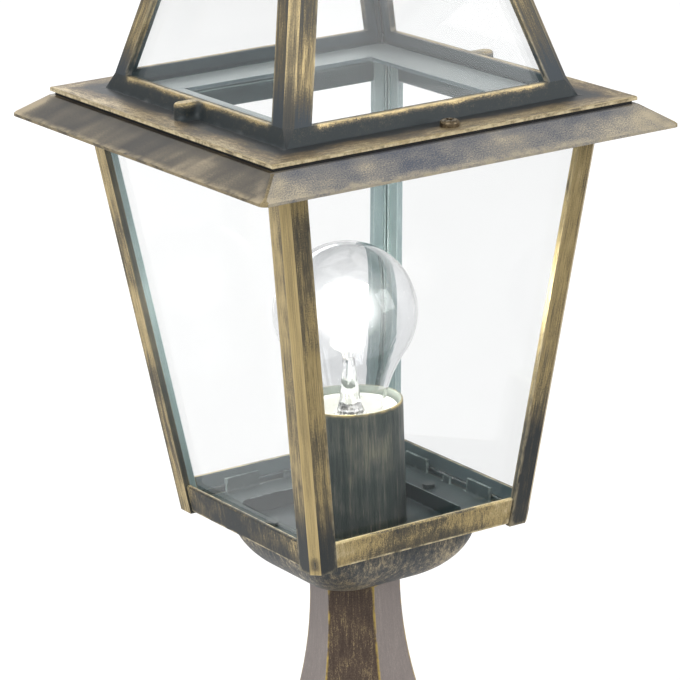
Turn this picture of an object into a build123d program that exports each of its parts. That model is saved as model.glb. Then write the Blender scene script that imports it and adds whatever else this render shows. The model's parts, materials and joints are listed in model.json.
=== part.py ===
from build123d import *
import math
import os

# A pedestal light: a glazed square lantern on a six-sided flared pedestal.
# Millimetres, Z up. The origin is the middle of the foot's underside.
# Front is -Y, back +Y, left -X and right +X.

# Clearances
thread_gap = 0.05  # a nut or hub on its thread, on the radius
hole_gap = 0.25  # a screw or tube through a plain hole, on the radius
seam_gap = 0.2  # between castings that butt, and around the glass
turn_gap = 0.3  # beside pieces that turn or lift
level_tolerance = 0.01  # for picking edges by their height

# Pedestal, a hollow casting with six sides
pedestal_height = 150.0
neck_flat = 34.0  # across the flats at the top
neck_straight = 3.0
neck_plate = 6.0
flare_flat = 124.0  # across the flats where the flare lands on the foot
pedestal_wall = 4.0
step_flat = 132.0
step_height = 5.0
foot_flat = 160.0
foot_height = 9.0
foot_bevel = 1.5
pedestal_turn = 51.0  # one flat faces along this angle from +X, in degrees
foot_hole = 6.5
foot_hole_circle = 168.0
foot_hole_count = 3

# Dish under the lantern
neck_seal_thickness = 1.0
neck_seal_diameter = 30.0
dish_height = 27.0
dish_top_width = 85.0
dish_bottom_width = 31.0
dish_top_roundness = 0.37  # corner radius as a share of the half width
dish_bottom_roundness = 0.64
dish_wall = 3.0
dish_floor = 5.0
dish_lug_width = 9.0
dish_lug_height = 6.0
dish_lug_reach = 5.5
dish_screw_inset = 3.4

# Lantern body: leaning corner posts on a bottom frame
body_foot_width = 110.0  # over the posts, at their lower ends
body_rim_width = 156.2  # over the posts, level with the rim's lower edge
body_height = 173.6  # from the posts' lower ends to the rim's lower edge
frame_height = 11.3
frame_wall = 2.0
frame_lip = 0.6
ledge_thickness = 2.0
post_drop = 1.3  # the posts reach this far below the frame
post_proud = 1.0  # and stand this far in front of its bars
post_leg = 11.5
post_bevel = 3.4
post_lug_thickness = 3.0
glass_thickness = 3.0
pane_top_gap = 4.6  # from the rim's plate down to the lower panes

# Floor tray, pressed from sheet, with a sunken middle
tray_sheet = 1.0
tray_well_depth = 7.0
tray_wall_lean = 0.5
tray_well_radius = 8.0
well_head_gap = 0.25  # between the well's mouth and a screw's head
well_ledge_gap = 0.3
tab_width = 17.0
tab_height = 6.0
tab_spread = 23.5  # from the middle of a side to the middle of a tab
middle_tab_width = 5.0
middle_tab_height = 3.0

# Rim, the sloping skirt round the top of the body
rim_width = 201.2
rim_top_width = 177.8
rim_height = 9.2
rim_wall = 3.0
rim_plate = 2.0
rim_opening = 128.0
rim_edge = 1.2  # upright band along the lower edge
rim_corner_radius = 3.2
rim_boss_diameter = 7.6
rim_boss_height = 8.0
apron_height = 13.0  # bars under the plate, in front of the panes

# Roof frame, one casting that lifts off
roof_seal_thickness = 1.7
roof_seal_inset = 1.6
roof_seal_width = 14.0
flange_width = 176.2
flange_thickness = 1.7
flange_opening = 92.0
flange_edge = 0.4
roof_foot_width = 141.8
roof_top_width = 84.0
roof_height = 100.0
roof_bar_height = 7.0
roof_wall = 3.0
roof_top_bar_height = 8.0
roof_lip = 2.0
roof_lip_opening = 64.0
roof_post_leg = 11.5
roof_post_bevel = 3.4
roof_foot_bevel = 0.3  # what is left of the bevel at the flange
lug_width = 7.0
lug_reach = 8.0
lug_edge = 1.5

# Roof cap and finial
cap_width = 96.0
cap_edge = 3.0
cap_height = 24.0
cap_top_width = 20.0
cap_fall = 40.0  # degrees below level where the curve leaves the top
cap_hollow_width = 72.0
cap_hollow_top_width = 12.0
cap_top_plate = 4.0
finial_base_diameter = 17.0
finial_base_height = 3.0
finial_neck_diameter = 7.0
finial_neck_height = 5.0
finial_ball_diameter = 15.0
finial_tip_diameter = 5.0
finial_tip_height = 7.0
stud_diameter = 6.0
strap_width = 14.0
strap_thickness = 2.0
cap_nut_flat = 10.0
cap_nut_height = 5.0

# Centre tube that clamps pedestal and dish, with its nuts
tube_diameter = 10.0
tube_bore = 8.0
tube_tail = 4.0
tube_nut_flat = 14.0
tube_nut_height = 4.0
tube_washer_diameter = 20.0
tube_washer_thickness = 1.5

# Lampholder and sleeve
holder_diameter = 40.0
holder_body_height = 36.0
holder_base_depth = 18.0
holder_base_floor = 3.0
holder_base_wall = 2.5
holder_seat = 2.5
holder_hub_diameter = 16.0
holder_hub_height = 6.0
holder_mouth_diameter = 32.0
holder_mouth_depth = 10.0
insert_height = 7.0
shell_bore = 27.4
shell_wall = 0.6
contact_diameter = 8.0
contact_height = 2.7
sleeve_gap = 1.4
sleeve_wall = 1.2
sleeve_height = 55.0
sleeve_lip = 0.4

# Bulb with a screw cap
bulb_diameter = 60.0
bulb_length = 105.0
bulb_centre_height = 90.0  # above the bottom frame's underside
bulb_wall = 0.8
bulb_shoulder = 35.0  # degrees below the equator where the neck curve starts
bulb_neck_diameter = 28.0
bulb_neck_height = 24.0  # from the contact's tip to the neck's lower end
cap_shell_diameter = 26.2
cap_shell_wall = 0.4
cap_thread_depth = 0.9
cap_thread_pitch = 3.6
cap_thread_turns = 4
insulator_height = 5.3
tip_diameter = 9.5
tip_height = 1.2
stem_waist_diameter = 8.5
stem_pinch_diameter = 5.0
stem_height = 30.0
stem_rod_diameter = 3.0
stem_rod_height = 11.0
filament_circle = 18.0
filament_wire = 0.7
filament_arc = 280.0
filament_rise = 10.5  # above the middle of the bulb
support_wire = 0.6
support_count = 3

# Screws
small_screw = 3.0
small_head_diameter = 5.5
small_head_height = 1.8
post_screw_inset = 7.5
roof_screw = 4.0
roof_head_diameter = 8.0
roof_head_height = 2.6
roof_screw_length = 11.0
roof_screw_offset = 80.5
slot_width = 1.2
slot_length = 4.6
slot_depth = 1.4

# Wiring inside the pedestal
bracket_width = 14.0
bracket_sheet = 1.5
bracket_reach = 12.5  # from the axis to the outside of the leg
bracket_tail = 9.0
bracket_foot_height = 50.0  # above the ground
block_width = 30.0
block_depth = 14.0
block_height = 18.0
block_foot_height = 62.0
pole_spacing = 10.0
lead_diameter = 2.2
lead_spread = 2.0
lead_bend = 9.0
clamp_height = 8.0
clamp_depth = 6.0
clamp_width = 13.0
earth_screw_height = 112.0

# Heights that follow from the sizes above
neck_z = pedestal_height
neck_plate_z = neck_z - neck_plate
flare_z = foot_height + step_height
dish_z = neck_z + neck_seal_thickness
dish_floor_z = dish_z + dish_floor
frame_z = dish_z + dish_height
frame_top_z = frame_z + frame_height
ledge_z = frame_z + ledge_thickness
post_foot_z = frame_z - post_drop
rim_z = post_foot_z + body_height
rim_top_z = rim_z + rim_height
post_top_z = rim_top_z - rim_plate
flange_z = rim_top_z + roof_seal_thickness
flange_top_z = flange_z + flange_thickness
roof_top_z = flange_top_z + roof_height
lip_z = roof_top_z - roof_lip
cap_top_z = roof_top_z + cap_height
tray_z = ledge_z + tray_sheet
well_z = tray_z - tray_well_depth
bulb_z = frame_z + bulb_centre_height
tip_z = bulb_z + bulb_diameter / 2 - bulb_length
insert_z = tip_z - turn_gap - contact_height
holder_base_z = insert_z - holder_base_depth
holder_floor_z = holder_base_z + holder_base_floor
holder_top_z = insert_z + holder_body_height

# The posts' wall, and how far the walls lean for each millimetre of height
post_wall = post_proud + frame_wall
body_lean = (body_rim_width - body_foot_width) / 2 / body_height
roof_lean = (roof_top_width - roof_foot_width) / 2 / roof_height
rim_lean = (rim_top_width - rim_width) / 2 / (rim_height - rim_edge)

corners = {
    "front_left": (-1, -1),
    "front_right": (1, -1),
    "back_right": (1, 1),
    "back_left": (-1, 1),
}
sides = {"front": 0, "right": 90, "back": 180, "left": 270}

os.makedirs("parts", exist_ok=True)


def body_half(z):
    """Half the width over the posts at this height."""
    return body_foot_width / 2 + body_lean * (z - post_foot_z)


def roof_half(z):
    """Half the width over the roof frame at this height."""
    return roof_foot_width / 2 + roof_lean * (z - flange_top_z)


def rim_half(z):
    """Half the width of the rim's slope at this height."""
    return rim_width / 2 + rim_lean * (z - rim_z - rim_edge)


def save(piece, name):
    """Label a finished piece and write it to its own file."""
    piece.part.label = name
    export_step(piece.part, f"parts/{name}.step")


def round_edges_at(piece, z):
    """The circular edges of a piece at this height."""
    rounds = piece.edges().filter_by(GeomType.CIRCLE)
    return rounds.filter_by_position(Axis.Z, z - level_tolerance, z + level_tolerance)


def turned_plane(degrees, z):
    """A level plane whose X axis is turned about the vertical."""
    angle = math.radians(degrees)
    return Plane(origin=(0, 0, z), x_dir=(math.cos(angle), math.sin(angle), 0), z_dir=(0, 0, 1))


def upright_plane(degrees):
    """A plane through the axis: its X axis is level along this angle, its Y axis is up."""
    angle = math.radians(degrees)
    facing = (math.sin(angle), -math.cos(angle), 0)
    return Plane(origin=(0, 0, 0), x_dir=(math.cos(angle), math.sin(angle), 0), z_dir=facing)


def square(half, z):
    """A level square of this half width."""
    with BuildSketch(Plane.XY.offset(z)) as outline:
        Rectangle(2 * half, 2 * half)
    return outline.sketch


def frustum(half_low, z_low, half_high, z_high, mode=Mode.ADD):
    """A square block with leaning sides, added to or cut from the current piece."""
    loft([square(half_low, z_low), square(half_high, z_high)], ruled=True, mode=mode)


def rounded_frustum(half_low, z_low, half_high, z_high, radius, mode=Mode.ADD):
    """A square block with leaning sides and rounded upright edges."""
    sections = []
    for half, z in ((half_low, z_low), (half_high, z_high)):
        with BuildSketch(Plane.XY.offset(z)) as outline:
            RectangleRounded(2 * half, 2 * half, radius)
        sections.append(outline.sketch)
    loft(sections, ruled=True, mode=mode)


def leaning_bar(points, z_low, z_high, lean, mode=Mode.ADD):
    """A bar of constant level section that leans by these amounts along X and Y."""
    with BuildSketch(Plane.XY.offset(z_low)) as section:
        with BuildLine():
            Polyline(*points, close=True)
        make_face()
    along = Vector(*lean, 1) * (z_high - z_low)
    extrude(section.sketch, amount=along.length, dir=along, mode=mode)


def in_corner(corner, points):
    """Points of the (+X, +Y) quadrant moved to another corner."""
    return [(corner[0] * x, corner[1] * y) for x, y in points]


def angle_points(half, leg, wall, bevel):
    """The section of a corner post: an angle with its outer edge bevelled."""
    return [
        (half - leg, half),
        (half - bevel, half),
        (half, half - bevel),
        (half, half - leg),
        (half - wall, half - leg),
        (half - wall, half - wall),
        (half - leg, half - wall),
    ]


def cut_post_corners(z_low, z_high):
    """Make room for the four posts at the corners of a ring of bars."""
    half = body_half(z_low)
    leg_end = half - post_leg - seam_gap
    wall_end = half - post_wall - seam_gap
    notch = [
        (leg_end, half),
        (half, half),
        (half, leg_end),
        (wall_end, leg_end),
        (wall_end, wall_end),
        (leg_end, wall_end),
    ]
    for corner in corners.values():
        lean = (corner[0] * body_lean, corner[1] * body_lean)
        leaning_bar(in_corner(corner, notch), z_low, z_high, lean, mode=Mode.SUBTRACT)


def square_points(low, high):
    """A square between two distances from both middle planes."""
    return [(low, low), (high, low), (high, high), (low, high)]


def ring(outer, inner, z_low, z_high, mode=Mode.ADD):
    """A round ring or washer about the axis."""
    with BuildSketch(Plane.XY.offset(z_low)) as section:
        Circle(outer / 2)
        Circle(inner / 2, mode=Mode.SUBTRACT)
    extrude(section.sketch, amount=z_high - z_low, mode=mode)


def hex_nut(flat, bore, z_low, height):
    """A six-sided nut about the axis."""
    with BuildSketch(Plane.XY.offset(z_low)) as section:
        RegularPolygon(flat / 2, 6, major_radius=False)
        Circle(bore / 2, mode=Mode.SUBTRACT)
    extrude(section.sketch, amount=height)


def screw(plane, diameter, length, head_diameter, head_height):
    """A pan-head screw: the head stands on the plane and the shank goes below it."""
    with BuildSketch(plane) as head:
        Circle(head_diameter / 2)
    extrude(head.sketch, amount=head_height)
    with BuildSketch(plane) as shank:
        Circle(diameter / 2)
    extrude(shank.sketch, amount=-length)


def pane(turn, half_at, wall, end_gap, z_low, z_high):
    """A flat glass pane that leans with its wall, behind the frame on one side."""
    sections = []
    for z in (z_low, z_high):
        outer = half_at(z) - wall - seam_gap
        with BuildSketch(turned_plane(turn, z)) as section:
            with Locations((0, -outer + glass_thickness / 2)):
                Rectangle(2 * (half_at(z) - end_gap), glass_thickness)
        sections.append(section.sketch)
    loft(sections, ruled=True)


# Pedestal
def pedestal_slab(turn, outline, mode):
    """One pair of opposite sides: an upright outline drawn out along the flats."""
    with BuildSketch(upright_plane(turn)) as section:
        with BuildLine():
            outline()
            mirror(about=Plane.YZ)
        make_face()
    extrude(section.sketch, amount=foot_flat, both=True, mode=mode)


def six_sided(outline):
    """Three pairs of sides that cut each other into six flats."""
    for index, mode in enumerate((Mode.ADD, Mode.INTERSECT, Mode.INTERSECT)):
        pedestal_slab(pedestal_turn + 60 * index, outline, mode)


def pedestal_outline():
    foot, step, flare, neck = foot_flat / 2, step_flat / 2, flare_flat / 2, neck_flat / 2
    Polyline(
        (0, 0),
        (foot, 0),
        (foot, foot_height - foot_bevel),
        (foot - foot_bevel, foot_height),
        (step, foot_height),
        (step, flare_z),
        (flare, flare_z),
    )
    TangentArc((neck, neck_z - neck_straight), (flare, flare_z), tangent=(0, -1))
    Polyline((neck, neck_z - neck_straight), (neck, neck_z), (0, neck_z))


def pedestal_hollow_outline():
    low, neck = flare_flat / 2 - pedestal_wall, neck_flat / 2 - pedestal_wall
    Polyline((0, 0), (low, 0), (low, flare_z))
    TangentArc((neck, neck_plate_z), (low, flare_z), tangent=(0, -1))
    Line((neck, neck_plate_z), (0, neck_plate_z))


with BuildPart() as pedestal_hollow:
    six_sided(pedestal_hollow_outline)

with BuildPart() as pedestal:
    six_sided(pedestal_outline)
    add(pedestal_hollow.part, mode=Mode.SUBTRACT)
    with Locations((0, 0, neck_z)):
        Hole(tube_diameter / 2 + hole_gap, depth=neck_plate)
    with Locations((0, 0, foot_height)):
        with PolarLocations(foot_hole_circle / 2, foot_hole_count, start_angle=pedestal_turn + 30):
            Hole(foot_hole / 2, depth=foot_height)
save(pedestal, "pedestal")

with BuildPart() as neck_seal:
    ring(neck_seal_diameter, tube_diameter + 2 * hole_gap, neck_z, dish_z)
save(neck_seal, "neck_seal")


# Dish: a rounded square bowl whose side is a quarter of an ellipse
dish_stations = 6
lug_centre = dish_top_width / 2 - dish_screw_inset
well_mouth_half = lug_centre - small_head_diameter / 2 - well_head_gap


def bowl(half_low, half_high, z_low, z_high):
    sections = []
    for index in range(dish_stations):
        angle = math.pi / 2 * index / (dish_stations - 1)
        share = math.sin(angle)
        half = half_low + (half_high - half_low) * share
        roundness = dish_bottom_roundness + (dish_top_roundness - dish_bottom_roundness) * share
        with BuildSketch(Plane.XY.offset(z_high - (z_high - z_low) * math.cos(angle))) as section:
            RectangleRounded(2 * half, 2 * half, half * roundness)
        sections.append(section.sketch)
    loft(sections)


with BuildPart() as dish_hollow:
    bowl(dish_bottom_width / 2 - dish_wall, dish_top_width / 2 - dish_wall, dish_floor_z, frame_z)
    lug_inner = dish_lug_reach / 2 - lug_centre
    for turn in sides.values():
        with BuildSketch(turned_plane(turn, frame_z - dish_lug_height)) as lug_section:
            with Locations((0, lug_inner)):
                Rectangle(dish_lug_width, dish_top_width / 4, align=(Align.CENTER, Align.MAX))
        extrude(lug_section.sketch, amount=dish_lug_height, mode=Mode.SUBTRACT)

with BuildPart() as dish:
    bowl(dish_bottom_width / 2, dish_top_width / 2, dish_z, frame_z)
    add(dish_hollow.part, mode=Mode.SUBTRACT)
    with Locations((0, 0, dish_floor_z)):
        Hole(tube_diameter / 2 + hole_gap, depth=dish_floor)
    with Locations((0, 0, frame_z)):
        with PolarLocations(lug_centre, len(sides)):
            Hole(small_screw / 2 + thread_gap, depth=dish_lug_height)
save(dish, "dish")


# Bottom frame: four bars between the posts, on a ledge that carries tray and glass
post_screw_at = body_half(ledge_z) - post_screw_inset

with BuildPart() as bottom_frame:
    bar_outer_low = body_half(frame_z) - post_proud
    bar_outer_high = body_half(frame_top_z) - post_proud
    frustum(bar_outer_low, frame_z, bar_outer_high, frame_top_z)
    chamfer(bottom_frame.faces().sort_by(Axis.Z)[-1].edges(), length=frame_lip)
    inner_low = body_half(ledge_z) - post_wall
    frustum(inner_low, ledge_z, body_half(frame_top_z) - post_wall, frame_top_z, mode=Mode.SUBTRACT)
    opening = well_mouth_half + well_ledge_gap
    frustum(opening, frame_z, opening, ledge_z, mode=Mode.SUBTRACT)
    cut_post_corners(frame_z, frame_top_z)
    for corner in corners.values():
        with Locations((corner[0] * post_screw_at, corner[1] * post_screw_at, ledge_z)):
            Hole(small_screw / 2 + hole_gap, depth=ledge_thickness)
    with Locations((0, 0, ledge_z)):
        with PolarLocations(lug_centre, len(sides)):
            Hole(small_screw / 2 + hole_gap, depth=ledge_thickness)
save(bottom_frame, "bottom_frame")


# Corner posts: leaning angles with a lug that takes a screw at each end
post_screw_top = body_half(post_top_z) - post_screw_inset

for name, corner in corners.items():
    lean = (corner[0] * body_lean, corner[1] * body_lean)
    with BuildPart() as post:
        foot_half = body_half(post_foot_z)
        section = angle_points(foot_half, post_leg, post_wall, post_bevel)
        leaning_bar(in_corner(corner, section), post_foot_z, post_top_z, lean)
        ends = ((post_screw_at, ledge_z + post_lug_thickness), (post_screw_top, post_top_z))
        for screw_at, lug_top_z in ends:
            lug_z = lug_top_z - post_lug_thickness
            lug_half = body_half(lug_z)
            lug = square_points(lug_half - post_leg, lug_half - post_wall / 2)
            leaning_bar(in_corner(corner, lug), lug_z, lug_top_z, lean)
            with Locations((corner[0] * screw_at, corner[1] * screw_at, lug_top_z)):
                Hole(small_screw / 2 + thread_gap, depth=post_lug_thickness)
    save(post, f"post_{name}")

with BuildPart() as lower_post_screws:
    for corner in corners.values():
        spot = (corner[0] * post_screw_at, corner[1] * post_screw_at, frame_z)
        seat = Plane(origin=spot, z_dir=(0, 0, -1))
        grip = ledge_thickness + post_lug_thickness
        screw(seat, small_screw, grip, small_head_diameter, small_head_height)
save(lower_post_screws, "lower_post_screws")


# Floor tray with a sunken well, and tabs that hold the panes' lower edges
tray_half = body_half(tray_z) - post_wall - glass_thickness - 2 * seam_gap
well_half = well_mouth_half - tray_wall_lean
tray_hole = holder_diameter + sleeve_gap

with BuildPart() as floor_tray:
    frustum(tray_half, ledge_z, tray_half, tray_z)
    rounded_frustum(well_half, well_z - tray_sheet, well_mouth_half, ledge_z, tray_well_radius)
    mouth_inner = well_mouth_half - tray_sheet
    inner_radius = tray_well_radius - tray_sheet
    rounded_frustum(
        well_half - tray_sheet, well_z, mouth_inner, tray_z, inner_radius, mode=Mode.SUBTRACT
    )
    with Locations((0, 0, well_z)):
        Hole(tray_hole / 2, depth=tray_sheet)
    with Locations((0, 0, tray_z)):
        with PolarLocations(lug_centre, len(sides)):
            Hole(small_screw / 2 + hole_gap, depth=tray_sheet)
    tabs = (
        (-tab_spread, tab_width, tab_height),
        (0, middle_tab_width, middle_tab_height),
        (tab_spread, tab_width, tab_height),
    )
    for turn in sides.values():
        for spread, width, height in tabs:
            with BuildSketch(turned_plane(turn, tray_z)) as tab:
                with Locations((spread, -tray_half)):
                    Rectangle(width, tray_sheet, align=(Align.CENTER, Align.MIN))
            along = (turned_plane(turn, 0).y_dir * -body_lean + Vector(0, 0, 1)) * height
            extrude(tab.sketch, amount=along.length, dir=along)
    notch_half = body_half(ledge_z) - post_leg - seam_gap
    for corner in corners.values():
        notch = in_corner(corner, square_points(notch_half, tray_half))
        leaning_bar(notch, ledge_z, tray_z, (0, 0), mode=Mode.SUBTRACT)
save(floor_tray, "floor_tray")

with BuildPart() as frame_screws:
    for turn in sides.values():
        middle = turned_plane(turn, tray_z)
        seat = Plane(origin=middle.from_local_coords((0, lug_centre, 0)), z_dir=middle.z_dir)
        grip = tray_sheet + ledge_thickness + dish_lug_height - turn_gap
        screw(seat, small_screw, grip, small_head_diameter, small_head_height)
save(frame_screws, "frame_screws")


# Rim: a sloping skirt with a level plate, screwed down on the posts, and an apron of four bars
with BuildPart() as apron:
    apron_z = post_top_z - apron_height
    frustum(body_half(apron_z) - post_proud, apron_z, body_half(post_top_z) - post_proud, post_top_z)
    inner_low, inner_high = body_half(apron_z) - post_wall, body_half(post_top_z) - post_wall
    frustum(inner_low, apron_z, inner_high, post_top_z, mode=Mode.SUBTRACT)
    cut_post_corners(apron_z, post_top_z)

with BuildPart() as rim:
    edge_z = rim_z + rim_edge
    frustum(rim_width / 2, rim_z, rim_width / 2, edge_z)
    frustum(rim_width / 2, edge_z, rim_half(rim_top_z), rim_top_z)
    slopes = rim.edges().filter_by(lambda edge: abs(edge.tangent_at(0.5).Z) > level_tolerance)
    fillet(slopes, radius=rim_corner_radius)
    skirt_low = rim_width / 2 - rim_wall
    frustum(skirt_low, rim_z, rim_half(post_top_z) - rim_wall, post_top_z, mode=Mode.SUBTRACT)
    for side in (-1, 1):
        with BuildSketch(Plane.XY.offset(post_top_z)) as boss:
            with Locations((0, side * roof_screw_offset)):
                Circle(rim_boss_diameter / 2)
        extrude(boss.sketch, amount=-rim_boss_height)
    add(apron.part)
    frustum(rim_opening / 2, post_top_z, rim_opening / 2, rim_top_z, mode=Mode.SUBTRACT)
    for corner in corners.values():
        with Locations((corner[0] * post_screw_top, corner[1] * post_screw_top, rim_top_z)):
            CounterSinkHole(
                small_screw / 2 + hole_gap,
                small_head_diameter / 2,
                depth=rim_plate,
                counter_sink_angle=90,
            )
    for side in (-1, 1):
        with Locations((0, side * roof_screw_offset, rim_top_z)):
            Hole(roof_screw / 2 + turn_gap, depth=rim_plate + rim_boss_height)
save(rim, "rim")

with BuildPart() as upper_post_screws:
    for corner in corners.values():
        spot = (corner[0] * post_screw_top, corner[1] * post_screw_top, rim_top_z)
        head = small_head_diameter / 2 - hole_gap
        shank = small_screw / 2
        with BuildSketch(Plane.XZ) as profile:
            with BuildLine():
                Polyline(
                    (0, 0),
                    (head, -hole_gap),
                    (shank, shank - head - hole_gap),
                    (shank, -rim_plate - post_lug_thickness),
                    (0, -rim_plate - post_lug_thickness),
                    close=True,
                )
            make_face()
        turned = revolve(profile.sketch, axis=Axis.Z, mode=Mode.PRIVATE)
        add(turned.moved(Location(spot)))
save(upper_post_screws, "upper_post_screws")


# Lower panes, standing on the posts' lower lugs and meeting in the corners
for name, turn in sides.items():
    with BuildPart() as lower_pane:
        end_gap = post_wall + glass_thickness + 2 * seam_gap
        pane_foot_z = ledge_z + post_lug_thickness + seam_gap
        pane(turn, body_half, post_wall, end_gap, pane_foot_z, post_top_z - pane_top_gap)
    save(lower_pane, f"lower_pane_{name}")


# Roof seal on the rim
seal_half = flange_width / 2 - roof_seal_inset

with BuildPart() as roof_seal:
    frustum(seal_half, rim_top_z, seal_half, flange_z)
    seal_inner = seal_half - roof_seal_width
    frustum(seal_inner, rim_top_z, seal_inner, flange_z, mode=Mode.SUBTRACT)
    for side in (-1, 1):
        with Locations((0, side * roof_screw_offset, flange_z)):
            Hole(roof_screw / 2 + turn_gap, depth=roof_seal_thickness)
save(roof_seal, "roof_seal")


# Roof frame: flange, bars, four posts, top bars and two lugs in one casting
with BuildPart() as top_bars:
    top_bar_z = roof_top_z - roof_top_bar_height
    frustum(roof_half(top_bar_z), top_bar_z, roof_half(roof_top_z), roof_top_z)
    inner_low, inner_high = roof_half(top_bar_z) - roof_wall, roof_half(lip_z) - roof_wall
    frustum(inner_low, top_bar_z, inner_high, lip_z, mode=Mode.SUBTRACT)
    frustum(roof_lip_opening / 2, lip_z, roof_lip_opening / 2, roof_top_z, mode=Mode.SUBTRACT)

def bevel_cut(corner, half, bevel, z):
    """A level triangle that cuts this much off a square's corner, and reaches past its sides."""
    past = half + roof_wall
    back = 2 * half - bevel - past
    with BuildSketch(Plane.XY.offset(z)) as triangle:
        with BuildLine():
            Polyline(*in_corner(corner, [(back, past), (past, back), (past, past)]), close=True)
        make_face()
    return triangle.sketch


with BuildPart() as roof_frame:
    flange_half = flange_width / 2
    frustum(flange_half, flange_z, flange_half, flange_top_z)
    chamfer(roof_frame.faces().sort_by(Axis.Z)[-1].edges(), length=flange_edge)
    flange_hole = flange_opening / 2
    bar_z = flange_top_z + roof_bar_height
    frustum(roof_half(flange_top_z), flange_top_z, roof_half(bar_z), bar_z)
    for turn in (sides["left"], sides["right"]):
        lug_end = roof_half(flange_top_z) + lug_reach - lug_width / 2
        with BuildSketch(turned_plane(turn, flange_top_z)) as lug:
            with Locations((0, -lug_end)):
                Circle(lug_width / 2)
                Rectangle(lug_width, lug_end / 2, align=(Align.CENTER, Align.MIN))
        extrude(lug.sketch, amount=roof_bar_height)
    fillet(round_edges_at(roof_frame, bar_z), radius=lug_edge)
    inner_low = roof_half(flange_top_z) - roof_wall
    frustum(inner_low, flange_top_z, roof_half(bar_z) - roof_wall, bar_z, mode=Mode.SUBTRACT)
    frustum(flange_hole, flange_z, flange_hole, flange_top_z, mode=Mode.SUBTRACT)
    for corner in corners.values():
        half = roof_half(flange_top_z)
        low_cut = bevel_cut(corner, half, roof_foot_bevel, flange_top_z)
        high_cut = bevel_cut(corner, roof_half(bar_z), roof_post_bevel, bar_z)
        loft([low_cut, high_cut], ruled=True, mode=Mode.SUBTRACT)
        section = angle_points(half, roof_post_leg, roof_wall, roof_post_bevel)
        lean = (corner[0] * roof_lean, corner[1] * roof_lean)
        leaning_bar(in_corner(corner, section), flange_top_z, roof_top_z, lean)
    add(top_bars.part)
    for side in (-1, 1):
        with Locations((0, side * roof_screw_offset, flange_top_z)):
            Hole(roof_screw / 2 + turn_gap, depth=flange_thickness)
save(roof_frame, "roof_frame")

for name, turn in sides.items():
    with BuildPart() as roof_pane:
        end_gap = roof_wall + glass_thickness + 2 * seam_gap
        pane(turn, roof_half, roof_wall, end_gap, flange_top_z + seam_gap, lip_z - seam_gap)
    save(roof_pane, f"roof_pane_{name}")


# Roof screws, one in the middle of the front and one at the back
for name, side in (("front", -1), ("back", 1)):
    with BuildPart() as roof_fixing:
        seat = Plane(origin=(0, side * roof_screw_offset, flange_top_z + thread_gap), z_dir=(0, 0, 1))
        screw(seat, roof_screw, roof_screw_length, roof_head_diameter, roof_head_height)
        rounded = roof_fixing.faces().sort_by(Axis.Z)[-1].edges()
        fillet(rounded, radius=roof_head_height / 2)
        with BuildSketch(seat.offset(roof_head_height)) as slots:
            Rectangle(slot_width, slot_length)
            Rectangle(slot_length, slot_width)
        extrude(slots.sketch, amount=-slot_depth, mode=Mode.SUBTRACT)
    save(roof_fixing, f"roof_screw_{name}")


# Roof cap: a square curved hood, with its finial, strap and nut
with BuildPart() as roof_cap:
    cap_half, cap_top_half = cap_width / 2, cap_top_width / 2
    eaves_z = roof_top_z + cap_edge
    falling = (math.cos(math.radians(cap_fall)), -math.sin(math.radians(cap_fall)))
    for turn, mode in ((0, Mode.ADD), (90, Mode.INTERSECT)):
        with BuildSketch(upright_plane(turn)) as side_view:
            with BuildLine():
                Polyline((0, roof_top_z), (cap_half, roof_top_z), (cap_half, eaves_z))
                TangentArc((cap_top_half, cap_top_z), (cap_half, eaves_z), tangent=falling)
                Line((cap_top_half, cap_top_z), (0, cap_top_z))
                mirror(about=Plane.YZ)
            make_face()
        extrude(side_view.sketch, amount=cap_width, both=True, mode=mode)
    hollow_top_z = cap_top_z - cap_top_plate
    frustum(cap_hollow_width / 2, roof_top_z, cap_hollow_top_width / 2, hollow_top_z, mode=Mode.SUBTRACT)
    with Locations((0, 0, cap_top_z)):
        Hole(stud_diameter / 2 + hole_gap, depth=cap_top_plate)
save(roof_cap, "roof_cap")

strap_z = lip_z - strap_thickness
stud_z = strap_z - cap_nut_height - stud_diameter / 2

with BuildPart() as finial:
    base, neck = finial_base_diameter / 2, finial_neck_diameter / 2
    ball, tip = finial_ball_diameter / 2, finial_tip_diameter / 2
    cove_low = cap_top_z + finial_base_height / 2
    cove_high = cap_top_z + finial_base_height
    ball_low = cove_high + finial_neck_height
    ball_z = ball_low + math.sqrt(ball**2 - neck**2)
    ball_high = ball_z + math.sqrt(ball**2 - tip**2)
    with BuildSketch(Plane.XZ):
        with BuildLine():
            Polyline(
                (0, stud_z),
                (stud_diameter / 2, stud_z),
                (stud_diameter / 2, cap_top_z),
                (base, cap_top_z),
                (base, cove_low),
            )
            TangentArc((neck, cove_high), (base, cove_low), tangent=(0, -1))
            Line((neck, cove_high), (neck, ball_low))
            ThreePointArc((neck, ball_low), (ball, ball_z), (tip, ball_high))
            Polyline((tip, ball_high), (0, ball_high + finial_tip_height), (0, stud_z))
        make_face()
    revolve(axis=Axis.Z)
save(finial, "finial")

with BuildPart() as cap_strap:
    strap_half = roof_half(lip_z) - roof_wall - glass_thickness - 3 * seam_gap
    with BuildSketch(Plane.XY.offset(strap_z)):
        Rectangle(2 * strap_half, strap_width)
        Circle(stud_diameter / 2 + hole_gap, mode=Mode.SUBTRACT)
    extrude(amount=strap_thickness)
save(cap_strap, "cap_strap")

with BuildPart() as cap_nut:
    hex_nut(cap_nut_flat, stud_diameter + 2 * thread_gap, strap_z - cap_nut_height, cap_nut_height)
save(cap_nut, "cap_nut")


# Centre tube with its nuts and washers
lower_washer_z = neck_plate_z - bracket_sheet - tube_washer_thickness
lower_nut_z = lower_washer_z - tube_nut_height
dish_nut_z = dish_floor_z + tube_washer_thickness
tube_z = lower_nut_z - tube_tail

with BuildPart() as centre_tube:
    ring(tube_diameter, tube_bore, tube_z, holder_floor_z)
save(centre_tube, "centre_tube")

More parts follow.
